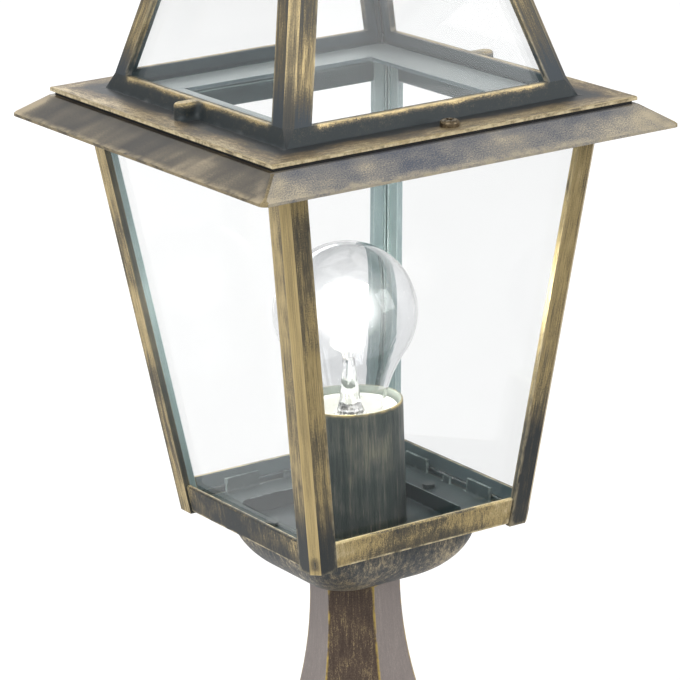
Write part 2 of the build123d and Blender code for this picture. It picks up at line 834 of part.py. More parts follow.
for name, z in (("lower", lower_washer_z), ("dish", dish_floor_z)):
    with BuildPart() as washer:
        ring(tube_washer_diameter, tube_diameter + 2 * hole_gap, z, z + tube_washer_thickness)
    save(washer, f"{name}_washer")

for name, z in (("lower", lower_nut_z), ("dish", dish_nut_z)):
    with BuildPart() as nut:
        hex_nut(tube_nut_flat, tube_diameter + 2 * thread_gap, z, tube_nut_height)
    save(nut, f"{name}_nut")


# Lampholder: base on the tube, insert with the centre contact, body with the brass shell
holder_bore = shell_bore + 2 * shell_wall + 2 * thread_gap
base_bore = holder_diameter - 2 * holder_base_wall
seat_z = insert_z - insert_height

with BuildPart() as lampholder_base:
    tube_fit = tube_diameter + 2 * thread_gap
    ring(holder_hub_diameter, tube_fit, holder_base_z - holder_hub_height, holder_base_z)
    ring(holder_diameter, tube_fit, holder_base_z, insert_z)
    with Locations((0, 0, insert_z)):
        Hole(base_bore / 2 - holder_seat, depth=insert_z - holder_floor_z)
        Hole(base_bore / 2, depth=insert_height)
    rounded = round_edges_at(lampholder_base, holder_base_z)
    fillet(rounded.sort_by(SortBy.RADIUS)[-1], radius=holder_base_wall)
save(lampholder_base, "lampholder_base")

with BuildPart() as lampholder_insert:
    with BuildSketch(Plane.XY.offset(seat_z)):
        Circle(base_bore / 2 - seam_gap)
    extrude(amount=insert_height)
save(lampholder_insert, "lampholder_insert")

with BuildPart() as lampholder_body:
    ring(holder_diameter, holder_bore, insert_z, holder_top_z)
    mouth_z = holder_top_z - holder_mouth_depth
    with Locations((0, 0, holder_top_z)):
        Hole(holder_mouth_diameter / 2, depth=holder_mouth_depth)
    fillet(lampholder_body.faces().sort_by(Axis.Z)[-1].edges(), radius=turn_gap)
save(lampholder_body, "lampholder_body")

with BuildPart() as screw_shell:
    ring(shell_bore + 2 * shell_wall, shell_bore, insert_z, mouth_z)
save(screw_shell, "screw_shell")

with BuildPart() as centre_contact:
    with BuildSketch(Plane.XY.offset(insert_z)):
        Circle(contact_diameter / 2)
    extrude(amount=contact_height)
    chamfer(centre_contact.faces().sort_by(Axis.Z)[-1].edges(), length=contact_height / 3)
save(centre_contact, "centre_contact")

sleeve_bore = holder_diameter + 2 * sleeve_gap

with BuildPart() as lamp_sleeve:
    ring(sleeve_bore + 2 * sleeve_wall, sleeve_bore, well_z, well_z + sleeve_height)
    fillet(lamp_sleeve.faces().sort_by(Axis.Z)[-1].edges(), radius=sleeve_lip)
save(lamp_sleeve, "lamp_sleeve")


# Bulb
neck_low_z = tip_z + bulb_neck_height
insulator_z = tip_z + tip_height
cap_foot_z = insulator_z + insulator_height


def bulb_solid(inset, mode):
    """The bulb's outline moved in by this much, turned about the axis."""
    radius, neck = bulb_diameter / 2 - inset, bulb_neck_diameter / 2 - inset
    angle = math.radians(bulb_shoulder)
    shoulder = (radius * math.cos(angle), bulb_z - radius * math.sin(angle))
    half = math.radians((90 - bulb_shoulder) / 2)
    middle = (radius * math.cos(half), bulb_z + radius * math.sin(half))
    with BuildSketch(Plane.XZ) as section:
        with BuildLine():
            ThreePointArc((0, bulb_z + radius), middle, shoulder)
            falling = (-math.sin(angle), -math.cos(angle))
            TangentArc(shoulder, (neck, neck_low_z), tangent=falling)
            Polyline((neck, neck_low_z), (0, neck_low_z), (0, bulb_z + radius))
        make_face()
    revolve(section.sketch, axis=Axis.Z, mode=mode)


with BuildPart() as bulb_glass:
    bulb_solid(0, Mode.ADD)
    bulb_solid(bulb_wall, Mode.SUBTRACT)
save(bulb_glass, "bulb_glass")

with BuildPart() as bulb_cap:
    cap_bore = cap_shell_diameter - 2 * (cap_thread_depth + cap_shell_wall)
    ring(cap_shell_diameter, cap_bore, cap_foot_z, neck_low_z)
    with BuildSketch(Plane.XZ) as grooves:
        for index in range(cap_thread_turns):
            groove_z = cap_foot_z + cap_thread_pitch * (index + 0.5)
            with Locations((cap_shell_diameter / 2, groove_z)):
                Ellipse(cap_thread_depth, cap_thread_pitch / 3)
    revolve(grooves.sketch, axis=Axis.Z, mode=Mode.SUBTRACT)
save(bulb_cap, "bulb_cap")

with BuildPart() as bulb_insulator:
    with BuildSketch(Plane.XZ) as cone:
        with BuildLine():
            Polyline(
                (0, insulator_z),
                (tip_diameter / 2, insulator_z),
                (cap_shell_diameter / 2 - cap_thread_depth, cap_foot_z),
                (0, cap_foot_z),
                close=True,
            )
        make_face()
    revolve(axis=Axis.Z)
save(bulb_insulator, "bulb_insulator")

with BuildPart() as bulb_contact:
    with BuildSketch(Plane.XY.offset(tip_z)):
        Circle(tip_diameter / 2)
    extrude(amount=tip_height)
    fillet(bulb_contact.faces().sort_by(Axis.Z)[0].edges(), radius=tip_height / 2)
save(bulb_contact, "bulb_contact")

pinch_z = neck_low_z + stem_height
rod_z = pinch_z + stem_rod_height
filament_z = bulb_z + filament_rise

with BuildPart() as bulb_stem:
    with BuildSketch(Plane.XZ) as stem_profile:
        with BuildLine():
            waist_z = neck_low_z + stem_height / 2
            flare_radius = bulb_neck_diameter / 2 - bulb_wall
            Polyline((0, neck_low_z), (flare_radius, neck_low_z))
            TangentArc(
                (stem_waist_diameter / 2, waist_z),
                (flare_radius, neck_low_z),
                tangent=(0, -1),
            )
            Polyline(
                (stem_waist_diameter / 2, waist_z),
                (stem_pinch_diameter / 2, pinch_z),
                (stem_rod_diameter / 2, pinch_z),
                (stem_rod_diameter / 2, rod_z),
                (0, rod_z),
                (0, neck_low_z),
            )
        make_face()
    revolve(axis=Axis.Z)
save(bulb_stem, "bulb_stem")


def ring_point(degrees, radius, z):
    angle = math.radians(degrees)
    return (radius * math.cos(angle), radius * math.sin(angle), z)


def wire_between(start, end):
    """A straight round wire from one point to another."""
    along = Vector(*end) - Vector(*start)
    with BuildSketch(Plane(origin=start, z_dir=along)) as section:
        Circle(support_wire / 2)
    extrude(section.sketch, amount=along.length)


filament_start = -filament_arc / 2

with BuildPart() as bulb_filament:
    start_point = ring_point(filament_start, filament_circle / 2, filament_z)
    with BuildLine() as filament_path:
        ThreePointArc(
            start_point,
            ring_point(0, filament_circle / 2, filament_z),
            ring_point(-filament_start, filament_circle / 2, filament_z),
        )
    with BuildSketch(Plane(origin=start_point, z_dir=filament_path.line % 0)) as wire_section:
        Circle(filament_wire / 2)
    sweep(wire_section.sketch, path=filament_path.line)
save(bulb_filament, "bulb_filament")

with BuildPart() as bulb_supports:
    wire_end_z = filament_z - filament_wire - seam_gap
    for index in range(support_count):
        bearing = filament_start * (1 - 2 * (index + 1) / (support_count + 1))
        inner = ring_point(bearing, stem_rod_diameter / 2 + support_wire, rod_z - stem_rod_height / 4)
        wire_between(inner, ring_point(bearing, filament_circle / 2, wire_end_z))
    for bearing in (filament_start, -filament_start):
        inner = ring_point(bearing, stem_pinch_diameter / 2 - support_wire, pinch_z + seam_gap)
        wire_between(inner, ring_point(bearing, filament_circle / 2, wire_end_z))
save(bulb_supports, "bulb_supports")


# Wiring inside the pedestal: bracket, terminal block, cable clamp, earth screw and leads
wiring_turn = pedestal_turn - 90  # X runs along the leg's width, Y points out through it
leg_inside = bracket_reach - bracket_sheet
block_top_z = block_foot_height + block_height
pole_y = leg_inside - block_depth / 2


def wiring_plane(z):
    return turned_plane(wiring_turn, z)


def leg_plane(z):
    """Upright on the inside of the bracket's leg, facing the axis."""
    foot = wiring_plane(z)
    return Plane(origin=foot.from_local_coords((0, leg_inside, 0)), x_dir=foot.x_dir, z_dir=-foot.y_dir)


with BuildPart() as wiring_bracket:
    tab_z = neck_plate_z - bracket_sheet
    with BuildSketch(wiring_plane(tab_z)) as bracket_tab:
        with Locations((0, (bracket_reach - bracket_tail) / 2)):
            Rectangle(bracket_width, bracket_reach + bracket_tail)
        Circle(tube_diameter / 2 + hole_gap, mode=Mode.SUBTRACT)
    extrude(bracket_tab.sketch, amount=bracket_sheet)
    with BuildSketch(wiring_plane(bracket_foot_height)) as bracket_leg:
        with Locations((0, bracket_reach - bracket_sheet / 2)):
            Rectangle(bracket_width, bracket_sheet)
    extrude(bracket_leg.sketch, amount=tab_z - bracket_foot_height)
    with BuildSketch(leg_plane(earth_screw_height)) as earth_hole:
        Circle(small_screw / 2 + hole_gap)
    extrude(earth_hole.sketch, amount=-bracket_sheet, mode=Mode.SUBTRACT)
save(wiring_bracket, "wiring_bracket")

with BuildPart() as terminal_block:
    with BuildSketch(wiring_plane(block_foot_height)) as block_section:
        with Locations((0, pole_y)):
            Rectangle(block_width, block_depth)
    extrude(block_section.sketch, amount=block_height)
    chamfer(terminal_block.edges().filter_by(Axis.Z), length=turn_gap)
    face_plane = leg_plane(block_foot_height + block_height / 2).offset(block_depth)
    with BuildSketch(face_plane) as wells:
        with GridLocations(pole_spacing, block_height / 2, 3, 2):
            Circle(small_screw / 2 + hole_gap)
    extrude(wells.sketch, amount=-block_depth / 2, mode=Mode.SUBTRACT)
save(terminal_block, "terminal_block")

with BuildPart() as terminal_screws:
    with BuildSketch(face_plane.offset(-block_depth / 2)) as screw_ends:
        with GridLocations(pole_spacing, block_height / 2, 3, 2):
            Circle(small_screw / 2)
    extrude(screw_ends.sketch, amount=block_depth / 3)
save(terminal_screws, "terminal_screws")

with BuildPart() as cable_clamp:
    clamp_plane = leg_plane(bracket_foot_height + clamp_height / 2)
    with BuildSketch(clamp_plane) as clamp_section:
        Rectangle(clamp_width, clamp_height - 2 * turn_gap)
    extrude(clamp_section.sketch, amount=clamp_depth)
    with BuildSketch(wiring_plane(bracket_foot_height)) as cable_groove:
        with Locations((0, leg_inside)):
            Circle(clamp_depth / 2)
    extrude(cable_groove.sketch, amount=clamp_height, mode=Mode.SUBTRACT)
save(cable_clamp, "cable_clamp")

with BuildPart() as earth_screw:
    screw_seat = leg_plane(earth_screw_height)
    screw(screw_seat, small_screw, bracket_sheet, small_head_diameter, small_head_height)
save(earth_screw, "earth_screw")


def lead(points, bends):
    """A lead of round section along straight runs and arcs."""
    with BuildLine(wiring_plane(0)) as route:
        FilletPolyline(*points, radius=bends)
    with BuildSketch(Plane(origin=route.line @ 0, z_dir=route.line % 0)) as section:
        Circle(lead_diameter / 2)
    sweep(section.sketch, path=route.line)


for name, side in (("live", -1), ("neutral", 1)):
    with BuildPart() as supply_lead:
        x_block, x_tube = side * pole_spacing, side * lead_spread
        route_points = [
            (x_block, pole_y, block_top_z),
            (x_block, pole_y, block_top_z + lead_bend),
            (x_tube, 0, tube_z - lead_bend),
            (x_tube, 0, seat_z),
        ]
        lead(route_points, lead_bend)
    save(supply_lead, f"{name}_lead")

with BuildPart() as earth_lead:
    head_y = leg_inside - lead_diameter / 2 - seam_gap
    head_low = earth_screw_height - small_head_diameter / 2 - seam_gap
    earth_points = [
        (0, pole_y, block_top_z),
        (0, pole_y, block_top_z + lead_bend),
        (0, head_y, head_low - lead_bend),
        (0, head_y, head_low),
    ]
    lead(earth_points, lead_bend)
save(earth_lead, "earth_lead")
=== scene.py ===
"""Pedestal light: finishes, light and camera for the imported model."""
import json
import math

import bmesh
import bpy
import numpy as np
from mathutils import Matrix, Vector


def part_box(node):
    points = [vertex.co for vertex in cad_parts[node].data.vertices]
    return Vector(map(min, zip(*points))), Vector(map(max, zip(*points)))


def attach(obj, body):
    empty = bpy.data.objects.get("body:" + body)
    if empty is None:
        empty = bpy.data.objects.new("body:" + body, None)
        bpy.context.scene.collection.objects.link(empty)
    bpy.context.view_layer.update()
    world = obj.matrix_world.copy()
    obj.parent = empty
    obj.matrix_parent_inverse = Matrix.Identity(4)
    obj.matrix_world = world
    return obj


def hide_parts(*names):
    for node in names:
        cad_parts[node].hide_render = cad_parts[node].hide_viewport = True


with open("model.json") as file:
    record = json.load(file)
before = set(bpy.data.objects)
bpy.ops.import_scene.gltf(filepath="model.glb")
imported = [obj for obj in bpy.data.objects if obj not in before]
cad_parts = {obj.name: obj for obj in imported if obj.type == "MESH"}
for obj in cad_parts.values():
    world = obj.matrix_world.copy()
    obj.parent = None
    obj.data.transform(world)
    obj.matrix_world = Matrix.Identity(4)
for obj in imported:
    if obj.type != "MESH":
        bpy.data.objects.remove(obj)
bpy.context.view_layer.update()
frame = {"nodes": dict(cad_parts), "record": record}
nodes = frame["nodes"]
node_body = {n: b for b, names in frame["record"]["behaviour"]["bodies"].items() for n in names}
node_slot = {p["node"]: p["material_slot"] for p in frame["record"]["subparts"]}
scene = bpy.context.scene

mm = 0.001
mm_per_metre = 1000.0

# Sizes of the solids; the walls lean out below the rim and in above it
post_foot_z = 176.7 * mm
post_leg = 11.5 * mm
body_foot_half = 55.0 * mm
body_lean = 0.1331
flange_z = 362.9 * mm
roof_foot_half = 70.9 * mm
roof_lean = -0.289
roof_bar_top = 369.9 * mm

# The way a pedestal face with painted sheen looks and the turn from face to face, in degrees
pedestal_turn = 51.0
pedestal_step = 60.0

# Named colours; every colour here is linear
slate = (0.036, 0.040, 0.041, 1)
slate_blue = (0.045, 0.056, 0.066, 1)
bronze_brown = (0.112, 0.094, 0.062, 1)
old_gold = (0.50, 0.385, 0.185, 1)
pale_gold = (0.80, 0.68, 0.43, 1)
umber = (0.052, 0.033, 0.025, 1)
unlit = (0, 0, 0, 1)
white = (1, 1, 1, 1)


def body_half(z):
    """Half the width of the lantern's body at a height."""
    return body_foot_half + body_lean * (z - post_foot_z)


def roof_half(z):
    """Half the width of the roof at a height."""
    return roof_foot_half + roof_lean * (z - flange_z)


def added(name, data):
    """A new object in the scene."""
    obj = bpy.data.objects.new(name, data)
    scene.collection.objects.link(obj)
    return obj


# Short ways to write nodes

def feed(tree, socket, value):
    """Join a socket to another, or set its value."""
    if isinstance(value, bpy.types.NodeSocket):
        tree.links.new(value, socket)
    else:
        socket.default_value = value


def put(tree, kind, inputs=None, **settings):
    """Add a node, set its options, and set or join its inputs."""
    node = tree.nodes.new(kind)
    for name, value in settings.items():
        setattr(node, name, value)
    for name, value in (inputs or {}).items():
        feed(tree, node.inputs[name], value)
    return node


def calc(tree, operation, *values, clamp=False):
    """What an operation makes of one, two or three values."""
    node = put(tree, "ShaderNodeMath", operation=operation, use_clamp=clamp)
    for socket, value in zip(node.inputs, values):
        feed(tree, socket, value)
    return node.outputs[0]


def product(tree, first, *others):
    """Values multiplied together."""
    for value in others:
        first = calc(tree, "MULTIPLY", first, value)
    return first


def fade(tree, value, low, high, start=0.0, end=1.0):
    """A smooth step from start to end as the value goes from low to high."""
    inputs = {"Value": value, "From Min": low, "From Max": high, "To Min": start, "To Max": end}
    node = put(tree, "ShaderNodeMapRange", inputs, interpolation_type="SMOOTHSTEP", clamp=True)
    return node.outputs["Result"]


def between(tree, share, first, second):
    """A colour between two."""
    node = put(tree, "ShaderNodeMix", data_type="RGBA", blend_type="MIX", clamp_factor=True)
    factor, colour_a, colour_b = node.inputs[0], node.inputs[6], node.inputs[7]
    for socket, value in ((factor, share), (colour_a, first), (colour_b, second)):
        feed(tree, socket, value)
    return node.outputs[2]


def stretched(tree, place, x, y, z):
    """A place with each of its directions scaled."""
    sizes = put(tree, "ShaderNodeCombineXYZ", {"X": x, "Y": y, "Z": z}).outputs[0]
    return put(tree, "ShaderNodeVectorMath", {0: place, 1: sizes}, operation="MULTIPLY").outputs[0]


def noise(tree, place, scale=1.0, detail=2.0, roughness=0.55):
    """Cloudy values round one half."""
    inputs = {"Vector": place, "Scale": scale, "Detail": detail, "Roughness": roughness}
    return put(tree, "ShaderNodeTexNoise", inputs).outputs["Fac"]


def group(name, inputs, outputs):
    """A shader node group with named sockets and nothing between them."""
    tree = bpy.data.node_groups.new(name, "ShaderNodeTree")
    for label, kind, value in inputs:
        socket = tree.interface.new_socket(label, in_out="INPUT", socket_type="NodeSocket" + kind)
        if value is not None:
            socket.default_value = value
    for label, kind in outputs:
        tree.interface.new_socket(label, in_out="OUTPUT", socket_type="NodeSocket" + kind)
    return tree, tree.nodes.new("NodeGroupInput").outputs, tree.nodes.new("NodeGroupOutput").inputs


def rubbed_casting():
    """The group for lacquered castings: dark ground, brushed gold over it, edges rubbed pale (partly wear,
    partly a painted highlight) and painted shade in the inner corners.
    """
    tree, given, out = group(
        "rubbed_casting",
        [
            ("Place", "Vector", None),
            ("Edge Gap", "Float", 9.0),
            ("Nook Gap", "Float", 9.0),
            ("Ground", "Color", slate),
            ("Middle", "Color", bronze_brown),
            ("Gold", "Color", old_gold),
            ("Glint", "Color", pale_gold),
            ("Cover", "Float", 0.5),
            ("Across", "Float", 500.0),
            ("Along", "Float", 20.0),
            ("Upward", "Float", 1.0),
            ("Blotch", "Float", 40.0),
            ("Contrast", "Float", 3.0),
            ("Speckle", "Float", 0.3),
            ("Speck Size", "Float", 1900.0),
            ("Edge Width", "Float", 0.8),
            ("Edge Rub", "Float", 0.8),
        ],
        [("Color", "Color"), ("Roughness", "Float"), ("Metallic", "Float"), ("Height", "Float")],
    )
    mean = 0.5
    broad_share, fine_share, hair_share, blotch_share = 0.30, 0.20, 0.12, 0.38
    full_edge = 0.2
    speck_gloss = 0.16
    speck_height, stroke_height = 0.6, 0.5

    place = given["Place"]
    stroke = stretched(tree, place, given["Across"], given["Along"], given["Upward"])
    broad = noise(tree, stroke, scale=1.0, detail=3.0, roughness=0.62)
    fine = noise(tree, stroke, scale=3.3, detail=2.0, roughness=0.6)
    hair = noise(tree, stroke, scale=8.0, detail=1.0, roughness=0.5)
    blotch = noise(tree, place, scale=given["Blotch"], detail=3.0, roughness=0.55)
    speck = noise(tree, place, scale=given["Speck Size"], detail=1.0, roughness=0.5)
    wear = noise(tree, place, scale=130.0, detail=3.0, roughness=0.7)

    # How much gold a point has
    sway = product(tree, hair, hair_share)
    for part, share in ((fine, fine_share), (broad, broad_share), (blotch, blotch_share)):
        sway = calc(tree, "MULTIPLY_ADD", part, share, sway)
    sway = product(tree, calc(tree, "SUBTRACT", sway, mean), given["Contrast"])
    grain = product(tree, calc(tree, "SUBTRACT", speck, mean), given["Speckle"])
    level = calc(tree, "ADD", calc(tree, "ADD", sway, grain), given["Cover"])
    # Painted shade, partly the finish's dark ground kept in hollows: less gold near inner corners
    level = product(tree, level, fade(tree, given["Nook Gap"], low=0.0, high=4.5, start=0.45, end=1.0))
    gilt = fade(tree, level, low=0.42, high=0.98)

    # Where an edge is rubbed pale, partly wear and partly a painted highlight, in a ragged and broken line
    width = given["Edge Width"]
    ragged = calc(tree, "MULTIPLY_ADD", calc(tree, "SUBTRACT", fine, mean), width, given["Edge Gap"])
    edge = fade(tree, ragged, low=product(tree, width, full_edge), high=width, start=1.0, end=0.0)
    edge = product(tree, edge, fade(tree, wear, low=0.34, high=0.62), given["Edge Rub"])

    tone = fade(tree, fine, low=0.25, high=0.75, start=0.80, end=1.16)
    toned = {0: given["Gold"], "Scale": tone}
    gold = put(tree, "ShaderNodeVectorMath", toned, operation="SCALE").outputs[0]
    colour = between(tree, fade(tree, level, low=0.02, high=0.52), given["Ground"], given["Middle"])
    colour = between(tree, gilt, colour, gold)
    colour = between(tree, fade(tree, level, low=0.95, high=1.5, end=0.7), colour, given["Glint"])
    colour = between(tree, edge, colour, given["Glint"])
    shine = calc(tree, "MAXIMUM", gilt, edge)
    gloss = fade(tree, shine, low=0.0, high=1.0, start=0.44, end=0.30)
    feed(tree, out["Color"], colour)
    feed(tree, out["Roughness"], calc(tree, "MULTIPLY_ADD", speck, speck_gloss, gloss))
    feed(tree, out["Metallic"], fade(tree, shine, low=0.0, high=1.0, start=0.15, end=0.5))
    strokes = product(tree, fine, stroke_height)
    feed(tree, out["Height"], calc(tree, "MULTIPLY_ADD", speck, speck_height, strokes))
    return tree


def mottled_surface():
    """The group for the small unevenness of moulded, plated and drawn surfaces."""
    tree, given, out = group(
        "mottled_surface",
        [
            ("Place", "Vector", None),
            ("Base", "Color", (0.8, 0.8, 0.8, 1)),
            ("Other", "Color", (0.7, 0.7, 0.7, 1)),
            ("Size", "Float", 300.0),
            ("Rough Low", "Float", 0.3),
            ("Rough High", "Float", 0.5),
        ],
        [("Color", "Color"), ("Roughness", "Float"), ("Height", "Float")],
    )
    flecks_per_cloud = 6.0
    cloud = noise(tree, given["Place"], scale=given["Size"], detail=3.0, roughness=0.6)
    fleck_size = product(tree, given["Size"], flecks_per_cloud)
    fleck = noise(tree, given["Place"], scale=fleck_size, detail=1.0, roughness=0.5)
    mixed = fade(tree, cloud, low=0.3, high=0.7)
    rough = fade(tree, fleck, low=0.25, high=0.75, start=given["Rough Low"], end=given["Rough High"])
    feed(tree, out["Color"], between(tree, mixed, given["Base"], given["Other"]))
    feed(tree, out["Roughness"], rough)
    feed(tree, out["Height"], fleck)
    return tree


rubbed = rubbed_casting()
mottle = mottled_surface()


# Materials and the places that they read

def material(name):
    """A new material with its tree, its main shader and its output's socket."""
    mat = bpy.data.materials.new(name)
    mat.use_nodes = True
    tree = mat.node_tree
    tree.nodes.clear()
    shader = put(tree, "ShaderNodeBsdfPrincipled")
    end = put(tree, "ShaderNodeOutputMaterial", {"Surface": shader.outputs[0]})
    return mat, tree, shader, end.inputs["Surface"]


def bumped(tree, height, depth, strength):
    """A surface normal from a height."""
    inputs = {"Height": height, "Strength": strength, "Distance": depth}
    return put(tree, "ShaderNodeBump", inputs).outputs[0]


def object_place(tree):
    """Where a point is on the object, in metres."""
    return put(tree, "ShaderNodeTexCoord").outputs["Object"]


def split(tree, place):
    """The three numbers of a place."""
    return put(tree, "ShaderNodeSeparateXYZ", {0: place}).outputs


def object_height(tree):
    """How high a point is on the object."""
    return split(tree, object_place(tree))["Z"]


def off_middle(tree, axis):
    """How far a point is from the object's middle along X or Y."""
    return calc(tree, "ABSOLUTE", split(tree, object_place(tree))[axis])


def axis_gap(tree):
    """How far a point is from the object's upright axis."""
    flat = stretched(tree, object_place(tree), 1.0, 1.0, 0.0)
    return put(tree, "ShaderNodeVectorMath", {0: flat}, operation="LENGTH").outputs["Value"]


def surface_place(tree):
    """Where a point is along and up its own face, in metres."""
    return put(tree, "ShaderNodeUVMap", uv_map="surface").outputs[0]


def gap(tree, name):
    """A distance that the piece carries, in millimetres."""
    return put(tree, "ShaderNodeAttribute", attribute_name=name).outputs["Fac"]


def slanted(tree, place, slant):
    """A place on a face, moved sideways in step with its height."""
    x, y, z = split(tree, place)
    side = calc(tree, "MULTIPLY_ADD", y, slant, x)
    return put(tree, "ShaderNodeCombineXYZ", {"X": side, "Y": y, "Z": z}).outputs[0]


lacquer_specular = 0.35
lacquer_bump = 0.25
inside_bump = 0.1
casting_depth = 0.12 * mm
sleeve_depth = 0.1 * mm
mottle_depth = 0.05 * mm


def rub(tree, shader, depth, bump, **look):
    """Put the castings' group into a material, with its values, and return its colour."""
    use = put(tree, "ShaderNodeGroup", node_tree=rubbed)
    for label, value in look.items():
        feed(tree, use.inputs[label.replace("_", " ").title()], value)
    feed(tree, shader.inputs["Base Color"], use.outputs["Color"])
    feed(tree, shader.inputs["Roughness"], use.outputs["Roughness"])
    feed(tree, shader.inputs["Metallic"], use.outputs["Metallic"])
    feed(tree, shader.inputs["Normal"], bumped(tree, use.outputs["Height"], depth, bump))
    return use.outputs["Color"]


def casting(name, cover, shade=None, along_face=True, slant=0.0, specular=lacquer_specular,
            bump=lacquer_bump, **look):
    """A lacquered casting's material. shade(tree) adds to its cover of gold or takes from it."""
    mat, tree, shader, _ = material(name)
    place = surface_place(tree) if along_face else object_place(tree)
    if slant:
        place = slanted(tree, place, slant)
    if shade:
        cover = calc(tree, "ADD", shade(tree), cover)
    rub(tree, shader, casting_depth, bump, place=place, cover=cover, edge_gap=gap(tree, "edge_gap"),
        nook_gap=gap(tree, "nook_gap"), **look)
    shader.inputs["Specular IOR Level"].default_value = specular
    return mat


def mottled(name, base, other, size, rough, metallic=0.0, bump=0.1):
    """A plain finish with its small unevenness, between two colours and two roughnesses."""
    mat, tree, shader, _ = material(name)
    use = put(tree, "ShaderNodeGroup", node_tree=mottle)
    values = {"Place": object_place(tree), "Base": base, "Other": other, "Size": size,
              "Rough Low": rough[0], "Rough High": rough[1]}
    for label, value in values.items():
        feed(tree, use.inputs[label], value)
    feed(tree, shader.inputs["Base Color"], use.outputs["Color"])
    feed(tree, shader.inputs["Roughness"], use.outputs["Roughness"])
    feed(tree, shader.inputs["Normal"], bumped(tree, use.outputs["Height"], mottle_depth, bump))
    shader.inputs["Metallic"].default_value = metallic
    return mat


# Where a casting's cover of gold is thicker or thinner

def darker_feet(tree):
    """Less gold at the lower ends of the posts."""
    return fade(tree, object_height(tree), low=182 * mm, high=214 * mm, start=-0.85, end=0.0)


def dark_low_end(tree):
    """A post face that is dark over its lowest part."""
    return fade(tree, object_height(tree), low=212 * mm, high=246 * mm, start=-0.72, end=0.0)


def dark_patch(tree):
    """A post face that is dark near its upper end and at its foot."""
    patch_gold = -0.42
    above = fade(tree, object_height(tree), low=296 * mm, high=322 * mm)
    below = fade(tree, object_height(tree), low=334 * mm, high=342 * mm, start=1.0, end=0.0)
    return calc(tree, "MULTIPLY_ADD", product(tree, above, below), patch_gold, darker_feet(tree))


def darker_roof_feet(tree):
    """Less gold where the roof's posts meet its bars."""
    return fade(tree, object_height(tree), low=364 * mm, high=392 * mm, start=-0.75, end=0.0)


def darker_middle(tree):
    """Less gold towards the middle of a front or back bar."""
    return fade(tree, off_middle(tree, "X"), low=14 * mm, high=44 * mm, start=-0.42, end=0.06)


def golden_ends(tree):
    """More gold towards the ends of a left or right bar."""
    return fade(tree, off_middle(tree, "Y"), low=25 * mm, high=52 * mm, start=-0.05, end=0.28)


def golden_bar_top(tree):
    """Gold on the upper edge of a roof bar, away from the posts: partly rubbed wear, partly a painted
    highlight.
    """
    most_gold = 0.84
    x, y = off_middle(tree, "X"), off_middle(tree, "Y")
    high_up = fade(tree, object_height(tree), low=366.8 * mm, high=370.0 * mm)
    far_out = fade(tree, calc(tree, "MAXIMUM", x, y), low=66.4 * mm, high=67.6 * mm)
    off_posts = fade(tree, calc(tree, "MINIMUM", x, y), low=54 * mm, high=60 * mm, start=1.0, end=0.0)
    return product(tree, high_up, far_out, off_posts, most_gold)


def rubbed_and_glinting_corners(tree):
    """More gold along the rim's four mitred corners: partly rubbed wear, partly a painted highlight."""
    off = calc(tree, "SUBTRACT", off_middle(tree, "X"), off_middle(tree, "Y"))
    return fade(tree, calc(tree, "ABSOLUTE", off), low=2 * mm, high=12 * mm, start=0.35, end=0.0)


def painted_nook_shade(tree):
    """Painted shade: less cover in the inner corners."""
    return fade(tree, gap(tree, "nook_gap"), low=0.4, high=2.4, start=-0.9, end=0.0)


def golden_flange_rim(tree):
    """Gold towards the roof flange's outer edge, dark by the bars."""
    far_out = calc(tree, "MAXIMUM", off_middle(tree, "X"), off_middle(tree, "Y"))
    return fade(tree, far_out, low=70.5 * mm, high=83.5 * mm, start=-0.55, end=0.42)


# The castings' finishes
lantern_coats = dict(ground=slate, middle=bronze_brown, gold=old_gold, glint=pale_gold)
roof_coats = dict(ground=slate_blue, middle=bronze_brown, gold=old_gold, glint=pale_gold)
post_look = dict(across=700.0, along=26.0, blotch=30.0, speckle=0.7, edge_width=1.5, edge_rub=0.28,
                 **lantern_coats)
pedestal_look = dict(along_face=False, across=640.0, along=640.0, upward=34.0, blotch=30.0,
                     edge_width=0.95, edge_rub=1.0, glint=(0.46, 0.33, 0.095, 1))

post_side = casting("post_side_brushed", cover=1.00, shade=darker_feet, contrast=3.2, **post_look)
post_gilded = casting("post_side_gilded", cover=0.80, shade=darker_feet, contrast=3.0, **post_look)
post_patchy = casting("post_side_patchy", cover=0.70, contrast=4.2, **post_look)
post_front = casting("post_front_brushed", cover=0.90, shade=dark_low_end, contrast=3.4, **post_look)
post_worn = casting("post_front_worn", cover=0.76, shade=dark_patch, contrast=3.4, **post_look)
leg_side = casting(
    "post_leg_dark", cover=0.22, across=700.0, along=26.0, blotch=30.0, contrast=2.6, speckle=0.5,
    edge_width=0.5, edge_rub=0.3, ground=(0.030, 0.034, 0.034, 1), middle=(0.085, 0.074, 0.052, 1),
    gold=(0.30, 0.235, 0.125, 1), glint=(0.50, 0.40, 0.22, 1))
post_edge = casting(
    "post_edge_rubbed", cover=1.24, across=800.0, along=14.0, blotch=22.0, contrast=1.7, speckle=0.4,
    edge_width=0.4, edge_rub=0.3, **lantern_coats)

front_bar = casting(
    "front_bar_brushed", cover=1.00, shade=darker_middle, across=650.0, along=120.0, blotch=60.0,
    contrast=3.8, speckle=0.9, edge_width=1.0, edge_rub=1.0, **lantern_coats)
side_bar = casting(
    "side_bar_brushed", cover=0.26, shade=golden_ends, across=560.0, along=110.0, blotch=45.0,
    contrast=4.4, speckle=0.8, edge_width=0.8, edge_rub=0.7, **lantern_coats)

